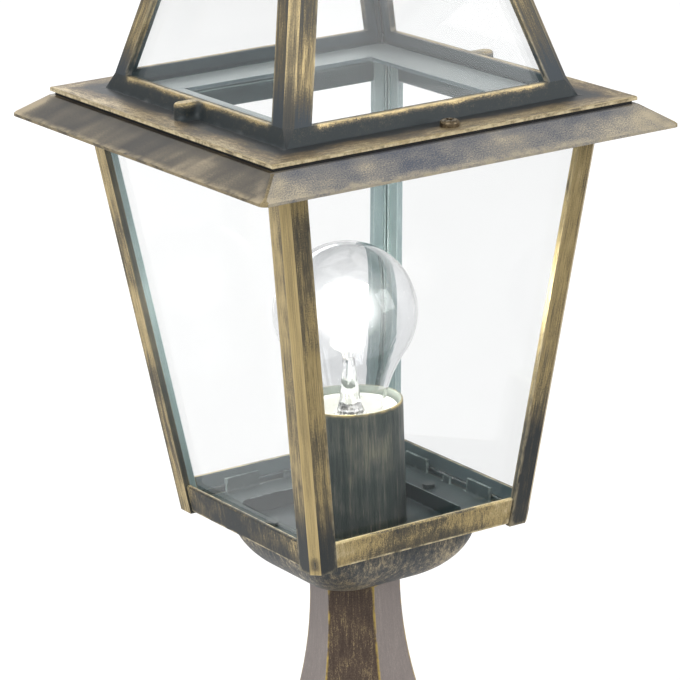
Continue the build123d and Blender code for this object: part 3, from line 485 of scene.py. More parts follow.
rim_front = casting(
    "rim_sanded", cover=0.52, shade=rubbed_and_glinting_corners, across=14.0, along=20.0, blotch=13.0,
    contrast=3.4, speckle=1.5, edge_width=3.2, edge_rub=0.55, ground=(0.090, 0.103, 0.135, 1),
    middle=(0.235, 0.225, 0.210, 1), gold=(0.50, 0.43, 0.31, 1), glint=(0.56, 0.48, 0.33, 1))
rim_side = casting(
    "rim_smeared", cover=0.46, shade=rubbed_and_glinting_corners, slant=0.9, across=15.0, along=6.0, blotch=20.0,
    contrast=4.6, speckle=0.7, edge_width=2.6, edge_rub=0.6, ground=(0.036, 0.032, 0.027, 1),
    middle=(0.088, 0.074, 0.053, 1), gold=(0.25, 0.20, 0.122, 1), glint=(0.40, 0.32, 0.18, 1))
# Painted highlight, partly rubbed wear: the rim's rounded corners are gold
rim_corner = casting(
    "rim_corner_rubbed_and_glinting", cover=0.95, across=300.0, along=30.0, blotch=40.0, contrast=1.8, speckle=0.5,
    edge_width=0.4, edge_rub=0.2, ground=slate, middle=bronze_brown, gold=(0.40, 0.315, 0.165, 1),
    glint=(0.56, 0.46, 0.27, 1))

roof_post_face = casting(
    "roof_post_brushed", cover=0.50, shade=darker_roof_feet, across=700.0, along=24.0, blotch=28.0,
    contrast=3.3, speckle=0.6, edge_width=1.3, edge_rub=0.28, **roof_coats)
roof_edge = casting(
    "roof_edge_rubbed", cover=0.92, shade=darker_roof_feet, across=800.0, along=14.0, blotch=22.0,
    contrast=1.9, speckle=0.4, edge_width=0.4, edge_rub=0.3, ground=(0.022, 0.027, 0.030, 1),
    middle=(0.075, 0.066, 0.048, 1), gold=old_gold, glint=pale_gold)
roof_bar = casting(
    "roof_bar_dark", cover=0.04, shade=golden_bar_top, across=330.0, along=330.0, blotch=60.0,
    contrast=2.6, speckle=1.0, edge_width=0.8, edge_rub=0.3, ground=(0.027, 0.035, 0.038, 1),
    middle=(0.085, 0.078, 0.060, 1), gold=(0.52, 0.40, 0.20, 1), glint=pale_gold)
flange_top = casting(
    "flange_rubbed", cover=0.24, shade=golden_flange_rim, across=60.0, along=190.0, blotch=26.0,
    contrast=2.8, speckle=0.8, edge_width=2.2, edge_rub=1.0, ground=(0.040, 0.044, 0.046, 1),
    middle=(0.150, 0.116, 0.074, 1), gold=(0.46, 0.36, 0.195, 1), glint=pale_gold)
cap_finish = casting(
    "cap_rubbed", cover=0.16, across=60.0, along=60.0, blotch=26.0, contrast=2.8, speckle=0.8,
    edge_width=1.7, edge_rub=0.9, **roof_coats)

dish_finish = casting(
    "dish_brushed", cover=0.46, along_face=False, across=480.0, along=480.0, upward=55.0, blotch=34.0,
    contrast=4.6, speckle=0.5, edge_width=0.6, edge_rub=0.5, ground=(0.036, 0.046, 0.056, 1),
    middle=(0.092, 0.090, 0.083, 1), gold=(0.36, 0.30, 0.195, 1), glint=pale_gold)
pedestal_dark = casting(
    "pedestal_umber", cover=0.35, contrast=3.2, speckle=0.9, ground=umber,
    middle=(0.090, 0.062, 0.044, 1), gold=(0.36, 0.27, 0.14, 1), **pedestal_look)
# Painted sheen: every other pedestal face is paler and greyer, as if it mirrored the white room
pedestal_painted_sheen = casting(
    "pedestal_mauve_painted_sheen", cover=0.55, contrast=1.4, speckle=0.6, ground=(0.150, 0.122, 0.112, 1),
    middle=(0.225, 0.192, 0.180, 1), gold=(0.33, 0.285, 0.255, 1), **pedestal_look)

# Painted reflection: the pale aqua of the posts' inside faces stands partly for the veil that the panes
# mirror over them
inner_post_painted_veil = casting(
    "inside_post_painted_veil", cover=0.55, shade=painted_nook_shade, across=300.0, along=12.0, blotch=30.0,
    contrast=1.4, speckle=0.2, edge_width=0.5, edge_rub=0.5, ground=(0.060, 0.085, 0.090, 1),
    middle=(0.215, 0.28, 0.295, 1), gold=(0.32, 0.395, 0.41, 1), glint=(0.62, 0.70, 0.71, 1),
    bump=inside_bump)
inner_roof = casting(
    "inside_roof_grey", cover=0.45, shade=painted_nook_shade, across=120.0, along=60.0, blotch=30.0,
    contrast=0.8, speckle=0.2, edge_width=0.6, edge_rub=0.4, ground=(0.030, 0.046, 0.052, 1),
    middle=(0.060, 0.088, 0.100, 1), gold=(0.10, 0.13, 0.142, 1), glint=(0.32, 0.38, 0.39, 1),
    bump=inside_bump)
# Painted reflection: the level inner ledge is paler than the other inside faces, as if it mirrored the bright
# room above
inner_ledge_painted_reflection = casting(
    "inside_ledge_painted_reflection", cover=0.50, across=90.0, along=90.0, blotch=26.0, contrast=1.0, speckle=0.2,
    edge_width=0.6, edge_rub=0.4, ground=(0.16, 0.19, 0.20, 1), middle=(0.255, 0.285, 0.285, 1),
    gold=(0.36, 0.375, 0.35, 1), glint=(0.56, 0.56, 0.50, 1), bump=inside_bump)
tray_finish = casting(
    "tray_slate", cover=0.46, along_face=False, across=300.0, along=300.0, blotch=50.0, contrast=1.0,
    speckle=0.3, edge_width=0.5, edge_rub=0.9, ground=(0.020, 0.036, 0.039, 1),
    middle=(0.033, 0.054, 0.058, 1), gold=(0.056, 0.084, 0.090, 1), glint=(0.32, 0.38, 0.375, 1),
    specular=0.5)


# Finishes of single pieces

def sleeve_material():
    """A dark bronzed tube with upright streaks, a rubbed upper edge and a pale grey bore."""
    mat, tree, shader, _ = material("sleeve_streaked")
    bore_grey = (0.30, 0.33, 0.31, 1)
    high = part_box("lamp_sleeve")[1]
    z = object_height(tree)
    below_top = product(tree, calc(tree, "SUBTRACT", high.z, z), mm_per_metre)
    browner = fade(tree, z, low=high.z - 40 * mm, high=high.z - 4 * mm, start=0.30, end=0.62)
    colour = rub(
        tree, shader, sleeve_depth, lacquer_bump, place=object_place(tree), edge_gap=below_top,
        cover=browner, across=620.0, along=620.0, upward=24.0, blotch=50.0, contrast=5.2, speckle=0.6,
        edge_width=1.4, edge_rub=0.9, ground=(0.030, 0.041, 0.040, 1), middle=(0.068, 0.078, 0.070, 1),
        gold=(0.175, 0.168, 0.130, 1), glint=(0.46, 0.36, 0.17, 1))
    bore_edge, wall_edge = high.x - 0.9 * mm, high.x - 0.6 * mm
    bore = fade(tree, axis_gap(tree), low=bore_edge, high=wall_edge, start=1.0, end=0.0)
    feed(tree, shader.inputs["Base Color"], between(tree, bore, colour, bore_grey))
    shader.inputs["Specular IOR Level"].default_value = lacquer_specular
    return mat


def glass_material(name, tint, other, size, roughness=0.0, ior=1.5):
    """Clear glass whose shadow is light."""
    mat, tree, shader, surface = material(name)
    uneven = 0.012
    shadow_tint = (0.94, 0.96, 0.96, 1)
    cloud = noise(tree, object_place(tree), scale=size)
    feed(tree, shader.inputs["Base Color"], between(tree, fade(tree, cloud, low=0.3, high=0.7), tint, other))
    rough = fade(tree, cloud, low=0.35, high=0.8, start=roughness, end=roughness + uneven)
    feed(tree, shader.inputs["Roughness"], rough)
    shader.inputs["IOR"].default_value = ior
    shader.inputs["Transmission Weight"].default_value = 1.0
    clear = put(tree, "ShaderNodeBsdfTransparent", {"Color": shadow_tint}).outputs[0]
    in_shadow = put(tree, "ShaderNodeLightPath").outputs["Is Shadow Ray"]
    both = put(tree, "ShaderNodeMixShader", {0: in_shadow, 1: shader.outputs[0], 2: clear})
    feed(tree, surface, both.outputs[0])
    return mat, tree, shader


def paint_glow(tree, shader, share, colour, strength):
    """Paint a glow on a share of a material's surface, which gives light though it is no lamp."""
    feed(tree, shader.inputs["Emission Color"], between(tree, share, unlit, colour))
    shader.inputs["Emission Strength"].default_value = strength


def bulb_material():
    """Blown glass with a painted glow, bright in its middle while the lamp is lit: a halo and a band of
    emission on the glass.
    """
    mat, tree, shader = glass_material(
        "bulb_clear", (0.875, 0.88, 0.888, 1), (0.90, 0.905, 0.913, 1), size=60.0, ior=1.45)
    facing = put(tree, "ShaderNodeLayerWeight", {"Blend": 0.5}).outputs["Facing"]
    z = object_height(tree)
    halo = product(tree, fade(tree, facing, low=0.014, high=0.078, start=1.0, end=0.0),
                   fade(tree, z, low=250 * mm, high=260 * mm))
    band = product(tree, fade(tree, z, low=256 * mm, high=272 * mm),
                   fade(tree, z, low=276 * mm, high=292 * mm, start=1.0, end=0.0),
                   fade(tree, facing, low=0.06, high=0.32, start=0.19, end=0.0))
    paint_glow(tree, shader, calc(tree, "MAXIMUM", halo, band), (1.0, 0.985, 0.96, 1), strength=0.5)
    return mat


def stem_material():
    """The clear stem in the bulb, with painted glints: glowing streaks that stand for light from the lit wire
    above it.
    """
    mat, tree, shader = glass_material(
        "stem_clear", (0.93, 0.935, 0.94, 1), (0.96, 0.965, 0.97, 1), size=90.0)
    across, upward = 500.0, 160.0
    upright = stretched(tree, object_place(tree), across, across, upward)
    streak = fade(tree, noise(tree, upright), low=0.50, high=0.62)
    paint_glow(tree, shader, streak, (1.0, 0.99, 0.97, 1), strength=0.5)
    return mat


def lit_wire_material(name, strength):
    """Glowing wire, hotter in its middle: the filament is the lamp, while the support wires get a painted
    glow.
    """
    mat, tree, shader, _ = material(name)
    dull, bright = (0.32, 0.30, 0.28, 1), (0.45, 0.42, 0.38, 1)
    warm, hot = (1.0, 0.72, 0.36, 1), (1.0, 0.90, 0.72, 1)
    cloud = noise(tree, object_place(tree), scale=900.0)
    heat = fade(tree, axis_gap(tree), low=4 * mm, high=20 * mm, start=1.0, end=0.55)
    feed(tree, shader.inputs["Base Color"], between(tree, cloud, dull, bright))
    feed(tree, shader.inputs["Emission Color"], between(tree, heat, warm, hot))
    shader.inputs["Emission Strength"].default_value = strength
    return mat


def striped_lead():
    """Green insulation with its yellow stripes."""
    mat, tree, shader, _ = material("lead_green_yellow")
    green, yellow = (0.05, 0.20, 0.03, 1), (0.62, 0.52, 0.03, 1)
    stripes, climb = 2.0, 700.0
    x, y, z = split(tree, object_place(tree))
    around = product(tree, calc(tree, "ARCTAN2", y, x), stripes)
    wave = calc(tree, "SINE", calc(tree, "MULTIPLY_ADD", z, climb, around))
    cloud = noise(tree, object_place(tree), scale=900.0)
    stripe = fade(tree, wave, low=-0.1, high=0.1)
    feed(tree, shader.inputs["Base Color"], between(tree, stripe, green, yellow))
    feed(tree, shader.inputs["Roughness"], fade(tree, cloud, low=0.3, high=0.7, start=0.36, end=0.5))
    return mat


pane_clear, _, _ = glass_material(
    "pane_clear", (0.940, 0.944, 0.944, 1), (0.947, 0.951, 0.951, 1), size=18.0, ior=1.3)
pane_edge, _, _ = glass_material(
    "pane_edge", (0.36, 0.60, 0.58, 1), (0.50, 0.72, 0.70, 1), size=60.0, roughness=0.12)

slot_finish = {
    "bronzed_screw": mottled("screw_bronzed", (0.085, 0.064, 0.040, 1), (0.21, 0.16, 0.095, 1),
                             size=700.0, rough=(0.26, 0.46), metallic=0.8),
    "zinc_steel": mottled("zinc_plate", (0.56, 0.57, 0.57, 1), (0.44, 0.45, 0.46, 1),
                          size=400.0, rough=(0.26, 0.42), metallic=1.0),
    "brass_parts": mottled("brass_drawn", (0.78, 0.53, 0.20, 1), (0.62, 0.40, 0.15, 1),
                           size=350.0, rough=(0.20, 0.38), metallic=1.0),
    "nickel_cap": mottled("cap_nickel", (0.72, 0.71, 0.69, 1), (0.60, 0.59, 0.57, 1),
                          size=350.0, rough=(0.18, 0.34), metallic=1.0),
    "cap_black": mottled("cap_vitrite", (0.010, 0.010, 0.011, 1), (0.02, 0.02, 0.022, 1),
                         size=500.0, rough=(0.12, 0.25)),
    "seal_rubber": mottled("seal_black", (0.008, 0.008, 0.008, 1), (0.016, 0.016, 0.017, 1),
                           size=900.0, rough=(0.62, 0.85), bump=0.3),
    "holder_white": mottled("holder_white", (0.86, 0.855, 0.84, 1), (0.80, 0.79, 0.76, 1),
                            size=220.0, rough=(0.34, 0.50)),
    "block_plastic": mottled("block_white", (0.74, 0.74, 0.71, 1), (0.68, 0.68, 0.65, 1),
                             size=260.0, rough=(0.36, 0.52)),
    "lead_brown": mottled("lead_brown", (0.085, 0.030, 0.012, 1), (0.065, 0.022, 0.009, 1),
                          size=500.0, rough=(0.36, 0.5)),
    "lead_blue": mottled("lead_blue", (0.012, 0.040, 0.26, 1), (0.009, 0.030, 0.21, 1),
                         size=500.0, rough=(0.36, 0.5)),
    "lead_green": striped_lead(),
    # The support wires have a painted glow, though they are no lamp
    "filament_wire": lit_wire_material("support_wire_painted_glow", strength=1.5),
    "bulb_clear": bulb_material(),
    "bronzed_sleeve": sleeve_material(),
}
node_finish = {
    "bulb_stem": stem_material(),
    "frame_screws": mottled("tray_screw_dull", (0.030, 0.042, 0.042, 1), (0.046, 0.060, 0.060, 1),
                            size=400.0, rough=(0.35, 0.55), metallic=0.2),
}


# Castings with rounded edges and their distances to pale edges (wear and painted highlight) and to inner
# corners (painted shade). Angles are in degrees.
merge_gap = 1e-6
flat_angle = 0.6
turn_angle = 28.0
pale_edge_angle = 50.0
crease_angle = 50.0
shortest_edge = 1.5 * mm
rounding_steps = 2
most_cuts = 9
far_away = 30 * mm


def edge_ends(edges):
    """The two ends of each edge, as an array in metres."""
    return np.array([[tuple(v.co) for v in e.verts] for e in edges], float).reshape(-1, 2, 3)


def distance_to(points, segments):
    """How far each point is from the nearest of the segments, in millimetres."""
    batch, least_square = 400, 1e-18
    nearest = np.full(len(points), far_away)
    if len(segments):
        start, run = segments[:, 0], segments[:, 1] - segments[:, 0]
        square = np.maximum((run * run).sum(1), least_square)
        for low in range(0, len(points), batch):
            offset = points[low:low + batch, None] - start[None]
            share = np.clip((offset * run[None]).sum(2) / square, 0.0, 1.0)
            away = offset - share[:, :, None] * run[None]
            nearest[low:low + batch] = np.sqrt((away * away).sum(2).min(1))
    return nearest * mm_per_metre


def face_places(spots, centres, normals, shift):
    """For each face corner, its distance along the face and up it, in metres."""
    level_normal, least_length = 0.8, 1e-9
    level = np.abs(normals[:, 2:3]) > level_normal
    across = np.abs(centres[:, 1:2]) > np.abs(centres[:, 0:1])
    x_way, y_way = np.array([[1.0, 0, 0]]), np.array([[0, 1.0, 0]])
    flat = np.stack([-normals[:, 1], normals[:, 0], np.zeros(len(normals))], 1)
    flat /= np.maximum(np.linalg.norm(flat, axis=1, keepdims=True), least_length)
    along = np.where(level, np.where(across, x_way, y_way), flat)
    up = np.where(level, np.where(across, y_way, x_way), np.cross(normals, flat))
    moved = spots - shift(spots, centres)
    return np.stack([(moved * along).sum(1), (moved * up).sum(1)], 1)


def no_shift(spots, centres):
    """A piece that stands straight."""
    return np.zeros_like(spots)


def outward(by, centres):
    """A shift of the corners outwards in plan."""
    shift = np.sign(centres) * by[:, None]
    shift[:, 2] = 0
    return shift


def post_shift(spots, centres):
    """How far a leaning post has moved outwards at a point's height."""
    return outward(body_lean * (spots[:, 2] - post_foot_z), centres)


def roof_shift(spots, centres):
    """How far a roof post has moved inwards at a point's height; bars and flange stay."""
    leg_slack, bar_depth = 1.5 * mm, 8 * mm
    inner = roof_half(centres[:, 2]) - post_leg - leg_slack
    post = (centres[:, 2] > roof_bar_top - bar_depth) & (np.abs(centres[:, :2]).min(1) > inner)
    return outward(np.where(post, roof_lean * (spots[:, 2] - flange_z), 0.0), centres)


def numbers(items, name, size):
    """One property of many items, as an array with a row for each."""
    values = np.zeros(len(items) * size)
    items.foreach_get(name, values)
    return values.reshape(-1, size)


def rounded(mesh, node, edge_round, cell, pale_edge_least):
    """Fill a mesh with a CAD node's rounded form, and return its pale edges (wear and painted highlight) and
    inner corners (painted shade).
    """
    bm = bmesh.new()
    bm.from_mesh(nodes[node].data)
    bmesh.ops.remove_doubles(bm, verts=bm.verts, dist=merge_gap)
    bmesh.ops.dissolve_limit(bm, angle_limit=math.radians(flat_angle), verts=bm.verts, edges=bm.edges)
    turns = [e for e in bm.edges
             if len(e.link_faces) == 2 and e.calc_face_angle() > math.radians(turn_angle)]
    proud = [e for e in turns if e.is_convex]
    lasting = [e for e in turns if e.calc_length() > shortest_edge]
    edges_out = edge_ends([e for e in lasting if e.is_convex and e.calc_face_angle() > math.radians(pale_edge_least)])
    edges_in = edge_ends([e for e in lasting if not e.is_convex])
    bmesh.ops.bevel(bm, geom=proud, offset=edge_round, offset_type="OFFSET", segments=rounding_steps,
                    profile=0.5, affect="EDGES", clamp_overlap=True)
    bmesh.ops.triangulate(bm, faces=bm.faces)
    for _ in range(most_cuts):
        long = [e for e in bm.edges if e.calc_length() > cell]
        if not long:
            break
        bmesh.ops.subdivide_edges(bm, edges=long, cuts=1, use_grid_fill=True)
        bmesh.ops.triangulate(bm, faces=[f for f in bm.faces if len(f.verts) > 3])
    bm.to_mesh(mesh)
    bm.free()
    return edges_out, edges_in


def settle(piece):
    """Give a piece the mesh that its modifiers make, and remove them."""
    bpy.context.view_layer.update()
    shown = piece.evaluated_get(bpy.context.evaluated_depsgraph_get())
    finished = bpy.data.meshes.new_from_object(shown)
    piece.modifiers.clear()
    piece.data = finished
    finished.name = piece.name


def dressed(node, finishes, finish_of, edge_round=0.4 * mm, cell=3.5 * mm, shift=no_shift, pale_edge_least=pale_edge_angle):
    """A copy of a CAD node with rounded edges, its distances to pale edges and inner corners for wear,
    painted highlight and painted shade, and a finish for each face.
    """
    mesh = bpy.data.meshes.new(node + "_dressed")
    edges_out, edges_in = rounded(mesh, node, edge_round, cell, pale_edge_least)
    for mat in finishes:
        mesh.materials.append(mat)
    points = numbers(mesh.vertices, "co", 3)
    corners = numbers(mesh.loops, "vertex_index", 1).astype(int).ravel()
    centres, normals = numbers(mesh.polygons, "center", 3), numbers(mesh.polygons, "normal", 3)
    mesh.polygons.foreach_set("material_index", finish_of(centres, normals).astype(np.int32))
    mesh.polygons.foreach_set("use_smooth", np.ones(len(centres), bool))
    for name, segments in (("edge_gap", edges_out), ("nook_gap", edges_in)):
        values = mesh.attributes.new(name, "FLOAT", "POINT")
        values.data.foreach_set("value", distance_to(points, segments).astype(np.float32))
    layer = mesh.uv_layers.new(name="surface")
    places = face_places(points[corners], np.repeat(centres, 3, 0), np.repeat(normals, 3, 0), shift)
    layer.data.foreach_set("uv", places.astype(np.float32).ravel())
    mesh.set_sharp_from_angle(angle=math.radians(crease_angle))
    piece = added(node + "_dressed", mesh)
    weigh = piece.modifiers.new("even_faces", "WEIGHTED_NORMAL")
    weigh.keep_sharp = True
    settle(piece)
    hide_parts(node)
    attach(piece, node_body[node])


# Which of a piece's finishes each of its faces has

def faces_in(centres, normals):
    """True for a face that looks towards the lantern's middle."""
    inward_turn = -0.2
    outward_part = (centres[:, :2] * normals[:, :2]).sum(1)
    return outward_part < inward_turn * np.linalg.norm(centres[:, :2], axis=1)


def leg_end(centres, normals, half):
    """True for the narrow upright faces where a corner post's two legs end."""
    slack, square_on = 0.9 * mm, 0.7
    short = np.abs(np.abs(centres[:, :2]) - (half - post_leg)[:, None]) < slack
    return (short & (np.abs(normals[:, :2]) > square_on)).any(1)


def on_bevel(normals):
    """True for a face that is turned between front and side, as a post's bevelled edge is."""
    least_turn = 0.4
    return np.abs(normals[:, :2]).min(1) > least_turn


def post_finish(centres, normals):
    """Side face, front or back face, rubbed edge, inside or leg end of a post."""
    side, front, edge, inside, leg = range(5)
    inward = faces_in(centres, normals)
    ends = leg_end(centres, normals, body_half(centres[:, 2])) & inward
    across = np.abs(normals[:, 1]) > np.abs(normals[:, 0])
    outer = np.where(on_bevel(normals), edge, np.where(across, front, side))
    return np.where(ends, leg, np.where(inward, inside, outer))


def bar_finish(centres, normals):
    """Front and back bars, side bars, or the inside."""
    front, side, inside = range(3)
    level_normal = 0.7
    level = np.abs(normals[:, 2]) > level_normal
    by_place = np.abs(centres[:, 1]) > np.abs(centres[:, 0])
    by_way = np.abs(normals[:, 1]) > np.abs(normals[:, 0])
    outer = np.where(np.where(level, by_place, by_way), front, side)
    return np.where(faces_in(centres, normals), inside, outer)


def rim_finish(centres, normals):
    """Front and back skirt, side skirts, the inside, or the rounded corners."""
    front, side, inside, corner = range(4)
    under_normal, corner_turn, corner_slack = -0.3, 0.22, 0.02
    inward = faces_in(centres, normals) | (normals[:, 2] < under_normal)
    sides = np.abs(centres[:, 1]) <= np.abs(centres[:, 0])
    flat = np.abs(normals[:, :2])
    turned = flat.min(1) > corner_turn * flat.max(1) + corner_slack
    return np.where(inward, inside, np.where(turned, corner, np.where(sides, side, front)))


def roof_finish(centres, normals):
    """Flange, bars, posts, rubbed edges, inside or inner ledge of the roof; the ledge's finish holds a
    painted reflection.
    """
    flange, bar, post, edge, inside, ledge = range(6)
    flange_slack, flange_round = 0.5 * mm, 0.6 * mm
    thin_wall, thick_wall = 1.0 * mm, 3.0 * mm
    leg_slack, bevel_reach = 0.5 * mm, 5 * mm
    level_normal = 0.7
    z, plan = centres[:, 2], np.abs(centres[:, :2])
    half, farthest, nearest = roof_half(z), plan.max(1), plan.min(1)
    above_bars = z > roof_bar_top
    on_flange = (farthest > roof_foot_half + flange_slack) & (z < flange_z + flange_round)
    inward = (faces_in(centres, normals) & (farthest < half - thin_wall)) | (farthest < half - thick_wall)
    on_ledge = inward & (normals[:, 2] > level_normal)
    on_post = (nearest > half - post_leg - leg_slack) & above_bars
    on_edge = on_bevel(normals) & (nearest > half - bevel_reach)
    inward &= ~(leg_end(centres, normals, half) & above_bars)
    outer = np.where(on_edge, edge, np.where(on_post, post, bar))
    return np.where(on_flange, flange, np.where(on_ledge, ledge, np.where(inward, inside, outer)))


def pedestal_finish(centres, normals):
    """Alternate faces of the six-sided pedestal, every other one paler with painted sheen; its level faces
    are dark.
    """
    dark, level_normal = 1, 0.95
    turn = np.degrees(np.arctan2(normals[:, 1], normals[:, 0]))
    by_turn = np.round((turn - pedestal_turn) / pedestal_step) % 2
    return np.where(np.abs(normals[:, 2]) > level_normal, dark, by_turn)


def pane_finish(axis):
    """Clear faces or ground edges of the panes that face along X (0) or Y (1)."""
    clear, ground, clear_normal = 0, 1, 0.85
    return lambda centres, normals: np.where(np.abs(normals[:, axis]) > clear_normal, clear, ground)


def one_finish(centres, normals):
    """The same finish all over."""
    return np.zeros(len(centres))


for corner in ("front_left", "front_right", "back_left", "back_right"):
    side = {"back_left": post_patchy, "front_left": post_gilded}.get(corner, post_side)
    front = post_worn if corner == "front_left" else post_front
    # Painted reflection: the back right post's leg ends take the pale inside finish
    leg = {"back_right": inner_post_painted_veil, "front_right": post_front}.get(corner, leg_side)
    dressed("post_" + corner, [side, front, post_edge, inner_post_painted_veil, leg], post_finish, shift=post_shift)
dressed("bottom_frame", [front_bar, side_bar, inner_roof], bar_finish)
dressed("rim", [rim_front, rim_side, inner_roof, rim_corner], rim_finish, cell=4.5 * mm)
dressed("roof_frame", [flange_top, roof_bar, roof_post_face, roof_edge, inner_roof, inner_ledge_painted_reflection], roof_finish,
        cell=5.0 * mm, shift=roof_shift)
dressed("roof_cap", [cap_finish], one_finish)
dressed("finial", [post_edge], one_finish)
dressed("dish", [dish_finish], one_finish)
dressed("pedestal", [pedestal_painted_sheen, pedestal_dark], pedestal_finish, pale_edge_least=turn_angle)
dressed("floor_tray", [tray_finish], one_finish, edge_round=0.25 * mm)
for node in nodes:
    if "_pane_" in node:
        along_y = node.endswith(("front", "back"))
        dressed(node, [pane_clear, pane_edge], pane_finish(1 if along_y else 0), edge_round=0.35 * mm,
                cell=60 * mm)


# The bulb's filament

def coil_winder():
    """A geometry node tree for a fine wire wound round an arc."""
    wire_points, wire_sides = 900, 6
    tree = bpy.data.node_groups.new("wound_filament", "GeometryNodeTree")
    for label in ("Arc Radius", "Arc Height", "Arc Sweep", "Coil Radius", "Wire Radius", "Turns"):
        tree.interface.new_socket(label, in_out="INPUT", socket_type="NodeSocketFloat")
    tree.interface.new_socket("Finish", in_out="INPUT", socket_type="NodeSocketMaterial")
    tree.interface.new_socket("Geometry", in_out="OUTPUT", socket_type="NodeSocketGeometry")
    given = tree.nodes.new("NodeGroupInput").outputs
    end = tree.nodes.new("NodeGroupOutput").inputs
    line = put(tree, "GeometryNodeCurvePrimitiveLine", {"Start": (0, 0, 0), "End": (1, 0, 0)})
    many = put(tree, "GeometryNodeResampleCurve", {"Curve": line.outputs[0], "Count": wire_points})
    share = put(tree, "GeometryNodeSplineParameter").outputs["Factor"]
    bearing = product(tree, calc(tree, "SUBTRACT", share, 0.5), given["Arc Sweep"])
    wind = product(tree, share, given["Turns"], 2 * math.pi)
    radius = calc(tree, "MULTIPLY_ADD", calc(tree, "COSINE", wind), given["Coil Radius"], given["Arc Radius"])
    height = calc(tree, "MULTIPLY_ADD", calc(tree, "SINE", wind), given["Coil Radius"], given["Arc Height"])
    x = product(tree, calc(tree, "COSINE", bearing), radius)
    y = product(tree, calc(tree, "SINE", bearing), radius)
    spot = put(tree, "ShaderNodeCombineXYZ", {"X": x, "Y": y, "Z": height}).outputs[0]
    wound = put(tree, "GeometryNodeSetPosition", {"Geometry": many.outputs[0], "Position": spot})
    section = put(tree, "GeometryNodeCurvePrimitiveCircle",
                  {"Resolution": wire_sides, "Radius": given["Wire Radius"]})
    wire = put(tree, "GeometryNodeCurveToMesh",
               {"Curve": wound.outputs[0], "Profile Curve": section.outputs[0], "Fill Caps": True})
    real = put(tree, "GeometryNodeRealizeInstances", {"Geometry": wire.outputs[0]})
    done = put(tree, "GeometryNodeSetMaterial",
               {"Geometry": real.outputs[0], "Material": given["Finish"]})
    feed(tree, end["Geometry"], done.outputs[0])
    return tree


low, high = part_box("bulb_filament")
tube_half = (high.z - low.z) / 2
wire_radius, wire_room = 0.1 * mm, 0.11 * mm
coil_sizes = {
    "Arc Radius": high.x - tube_half,
    "Arc Height": (low.z + high.z) / 2,
    "Arc Sweep": math.radians(280.0),
    "Coil Radius": tube_half - wire_room,
    "Wire Radius": wire_radius,
    "Turns": 62.0,
    "Finish": lit_wire_material("filament_lit", strength=9.0),
}
coil = added("filament_coil", bpy.data.meshes.new("filament_coil"))
winding = coil.modifiers.new("wind", "NODES")
winding.node_group = coil_winder()
for socket in winding.node_group.interface.items_tree:
    if socket.item_type == "SOCKET" and socket.in_out == "INPUT":
        winding[socket.identifier] = coil_sizes[socket.name]
settle(coil)
coil.data.polygons.foreach_set("use_smooth", np.ones(len(coil.data.polygons), bool))
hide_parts("bulb_filament")
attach(coil, node_body["bulb_filament"])

# Nodes that are shown as they were built
for node in nodes:
    if not nodes[node].hide_render:
        nodes[node].data.materials.clear()
        nodes[node].data.materials.append(node_finish.get(node, slot_finish[node_slot[node]]))


# Floor, light and camera

def sent_on(tree, path):
    """1 for a ray that metal or glass has sent on."""
    return calc(tree, "MAXIMUM", path["Is Glossy Ray"], path["Is Transmission Ray"])


def floor_material():
    """A white floor that looks as bright as the background and keeps the object's shadow."""
    camera_glow, sent_on_glow = 0.27, 0.205
    pale, paler = (0.80, 0.80, 0.80, 1), (0.82, 0.82, 0.82, 1)
    mat, tree, shader, _ = material("floor_white")
    cloud = noise(tree, object_place(tree), scale=3.0)
    feed(tree, shader.inputs["Base Color"], between(tree, cloud, paler, pale))
    shader.inputs["Roughness"].default_value = 0.9
    shader.inputs["Specular IOR Level"].default_value = 0.0
    shader.inputs["Emission Color"].default_value = white
    path = put(tree, "ShaderNodeLightPath").outputs
    elsewhere = product(tree, sent_on(tree, path), sent_on_glow)
    glow = calc(tree, "MULTIPLY_ADD", path["Is Camera Ray"], camera_glow, elsewhere)
    feed(tree, shader.inputs["Emission Strength"], glow)
    return mat


def light_world():
    """A white background that gives soft light, and is darker low in front where metal mirrors it."""
    soft_light, seen_light = 0.62, 1.0
    mirror_shade, low_shade, side_share = 0.2, 0.70, 0.4
    world = bpy.data.worlds.new("studio")
    scene.world = world
    world.use_nodes = True
    tree = world.node_tree
    tree.nodes.clear()
    path = put(tree, "ShaderNodeLightPath").outputs
    seen = calc(tree, "MAXIMUM", path["Is Camera Ray"], sent_on(tree, path))
    x, y, z = split(tree, put(tree, "ShaderNodeTexCoord").outputs["Generated"])
    low_down = fade(tree, z, low=-0.30, high=-0.08, start=1.0, end=0.0)
    forward = calc(tree, "SUBTRACT", product(tree, x, side_share), y)
    low_in_front = product(tree, low_down, fade(tree, forward, low=0.2, high=0.6))
    mirrored = calc(tree, "SUBTRACT", path["Is Glossy Ray"], path["Is Transmission Ray"], clamp=True)
    shade = product(tree, calc(tree, "MULTIPLY_ADD", low_in_front, low_shade, mirror_shade), mirrored)
    light = fade(tree, seen, low=0.0, high=1.0, start=soft_light, end=seen_light)
    strength = calc(tree, "SUBTRACT", light, shade)
    back = put(tree, "ShaderNodeBackground", {"Color": white, "Strength": strength})
    put(tree, "ShaderNodeOutputWorld", {"Surface": back.outputs[0]})


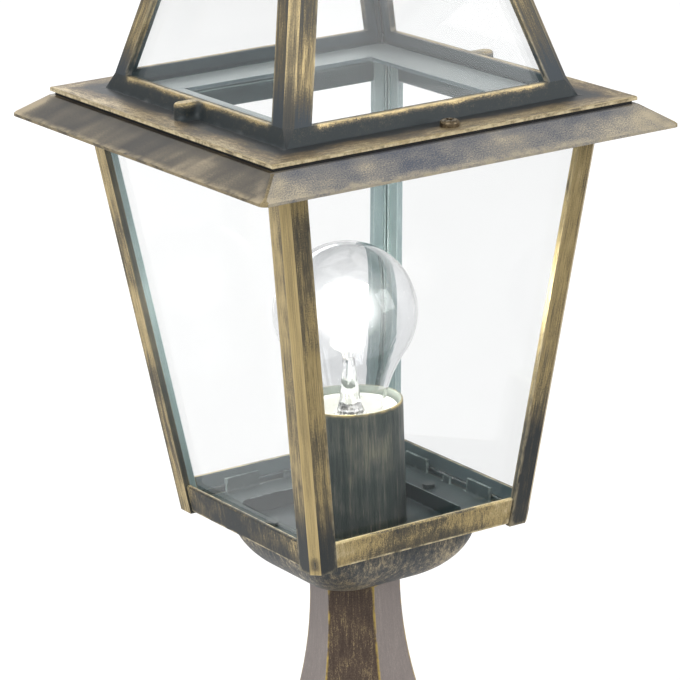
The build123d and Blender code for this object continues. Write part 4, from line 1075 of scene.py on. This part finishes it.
def softbox(name, place, aim_z, power):
    """A large square lamp that looks at the object's axis."""
    lamp = bpy.data.lights.new(name, "AREA")
    lamp.shape = "SQUARE"
    lamp.size = 1.2
    lamp.energy = power
    obj = added(name, lamp)
    obj.location = place
    obj.rotation_euler = (Vector((0, 0, aim_z)) - Vector(place)).to_track_quat("-Z", "Y").to_euler()


def photo_camera():
    """A camera that stands, looks and frames as the photograph's did."""
    azimuth, elevation, roll = math.radians(-32.79), math.radians(16.89), math.radians(-1.89)
    distance, target_z = 1.5488, 0.25465
    photo_size, focal, centre_x, centre_y = 680.0, 3656.0, 346.9, 340.6
    back = Vector((math.sin(azimuth) * math.cos(elevation), -math.cos(azimuth) * math.cos(elevation),
                   math.sin(elevation)))
    right = (-back).cross(Vector((0, 0, 1))).normalized()
    up = right.cross(-back)
    right, up = (math.cos(roll) * right + math.sin(roll) * up,
                 -math.sin(roll) * right + math.cos(roll) * up)
    lens = bpy.data.cameras.new("photo_camera")
    lens.sensor_width = 36.0
    lens.lens = focal / photo_size * lens.sensor_width
    lens.shift_x = (photo_size / 2 - centre_x) / photo_size
    lens.shift_y = (centre_y - photo_size / 2) / photo_size
    camera = added("photo_camera", lens)
    turn = Matrix((right, up, back)).transposed().to_4x4()
    camera.matrix_world = Matrix.Translation(Vector((0, 0, target_z)) + back * distance) @ turn
    return camera


floor_mesh = bpy.data.meshes.new("studio_floor")
reach, front = 6.0, -0.22
floor_corners = [(-reach, front, 0), (reach, front, 0), (reach, reach, 0), (-reach, reach, 0)]
floor_mesh.from_pydata(floor_corners, [], [(0, 1, 2, 3)])
floor = added("studio_floor", floor_mesh)
floor_mesh.materials.append(floor_material())
light_world()

lit = bpy.data.lights.new("lamp_light", "POINT")
lit.energy = 0.25
lit.shadow_soft_size = 10 * mm
lit.color = (1.0, 0.95, 0.84)
added("lamp_light", lit).location = (0, 0, 268 * mm)
softbox("key_left", (-1.6, -1.0, 1.7), aim_z=0.28, power=27.0)
softbox("fill_right", (1.4, -1.6, 1.0), aim_z=0.28, power=16.0)
softbox("back_light", (0.4, 1.8, 1.5), aim_z=0.3, power=14.0)

scene.camera = photo_camera()
scene.view_settings.view_transform = "Standard"
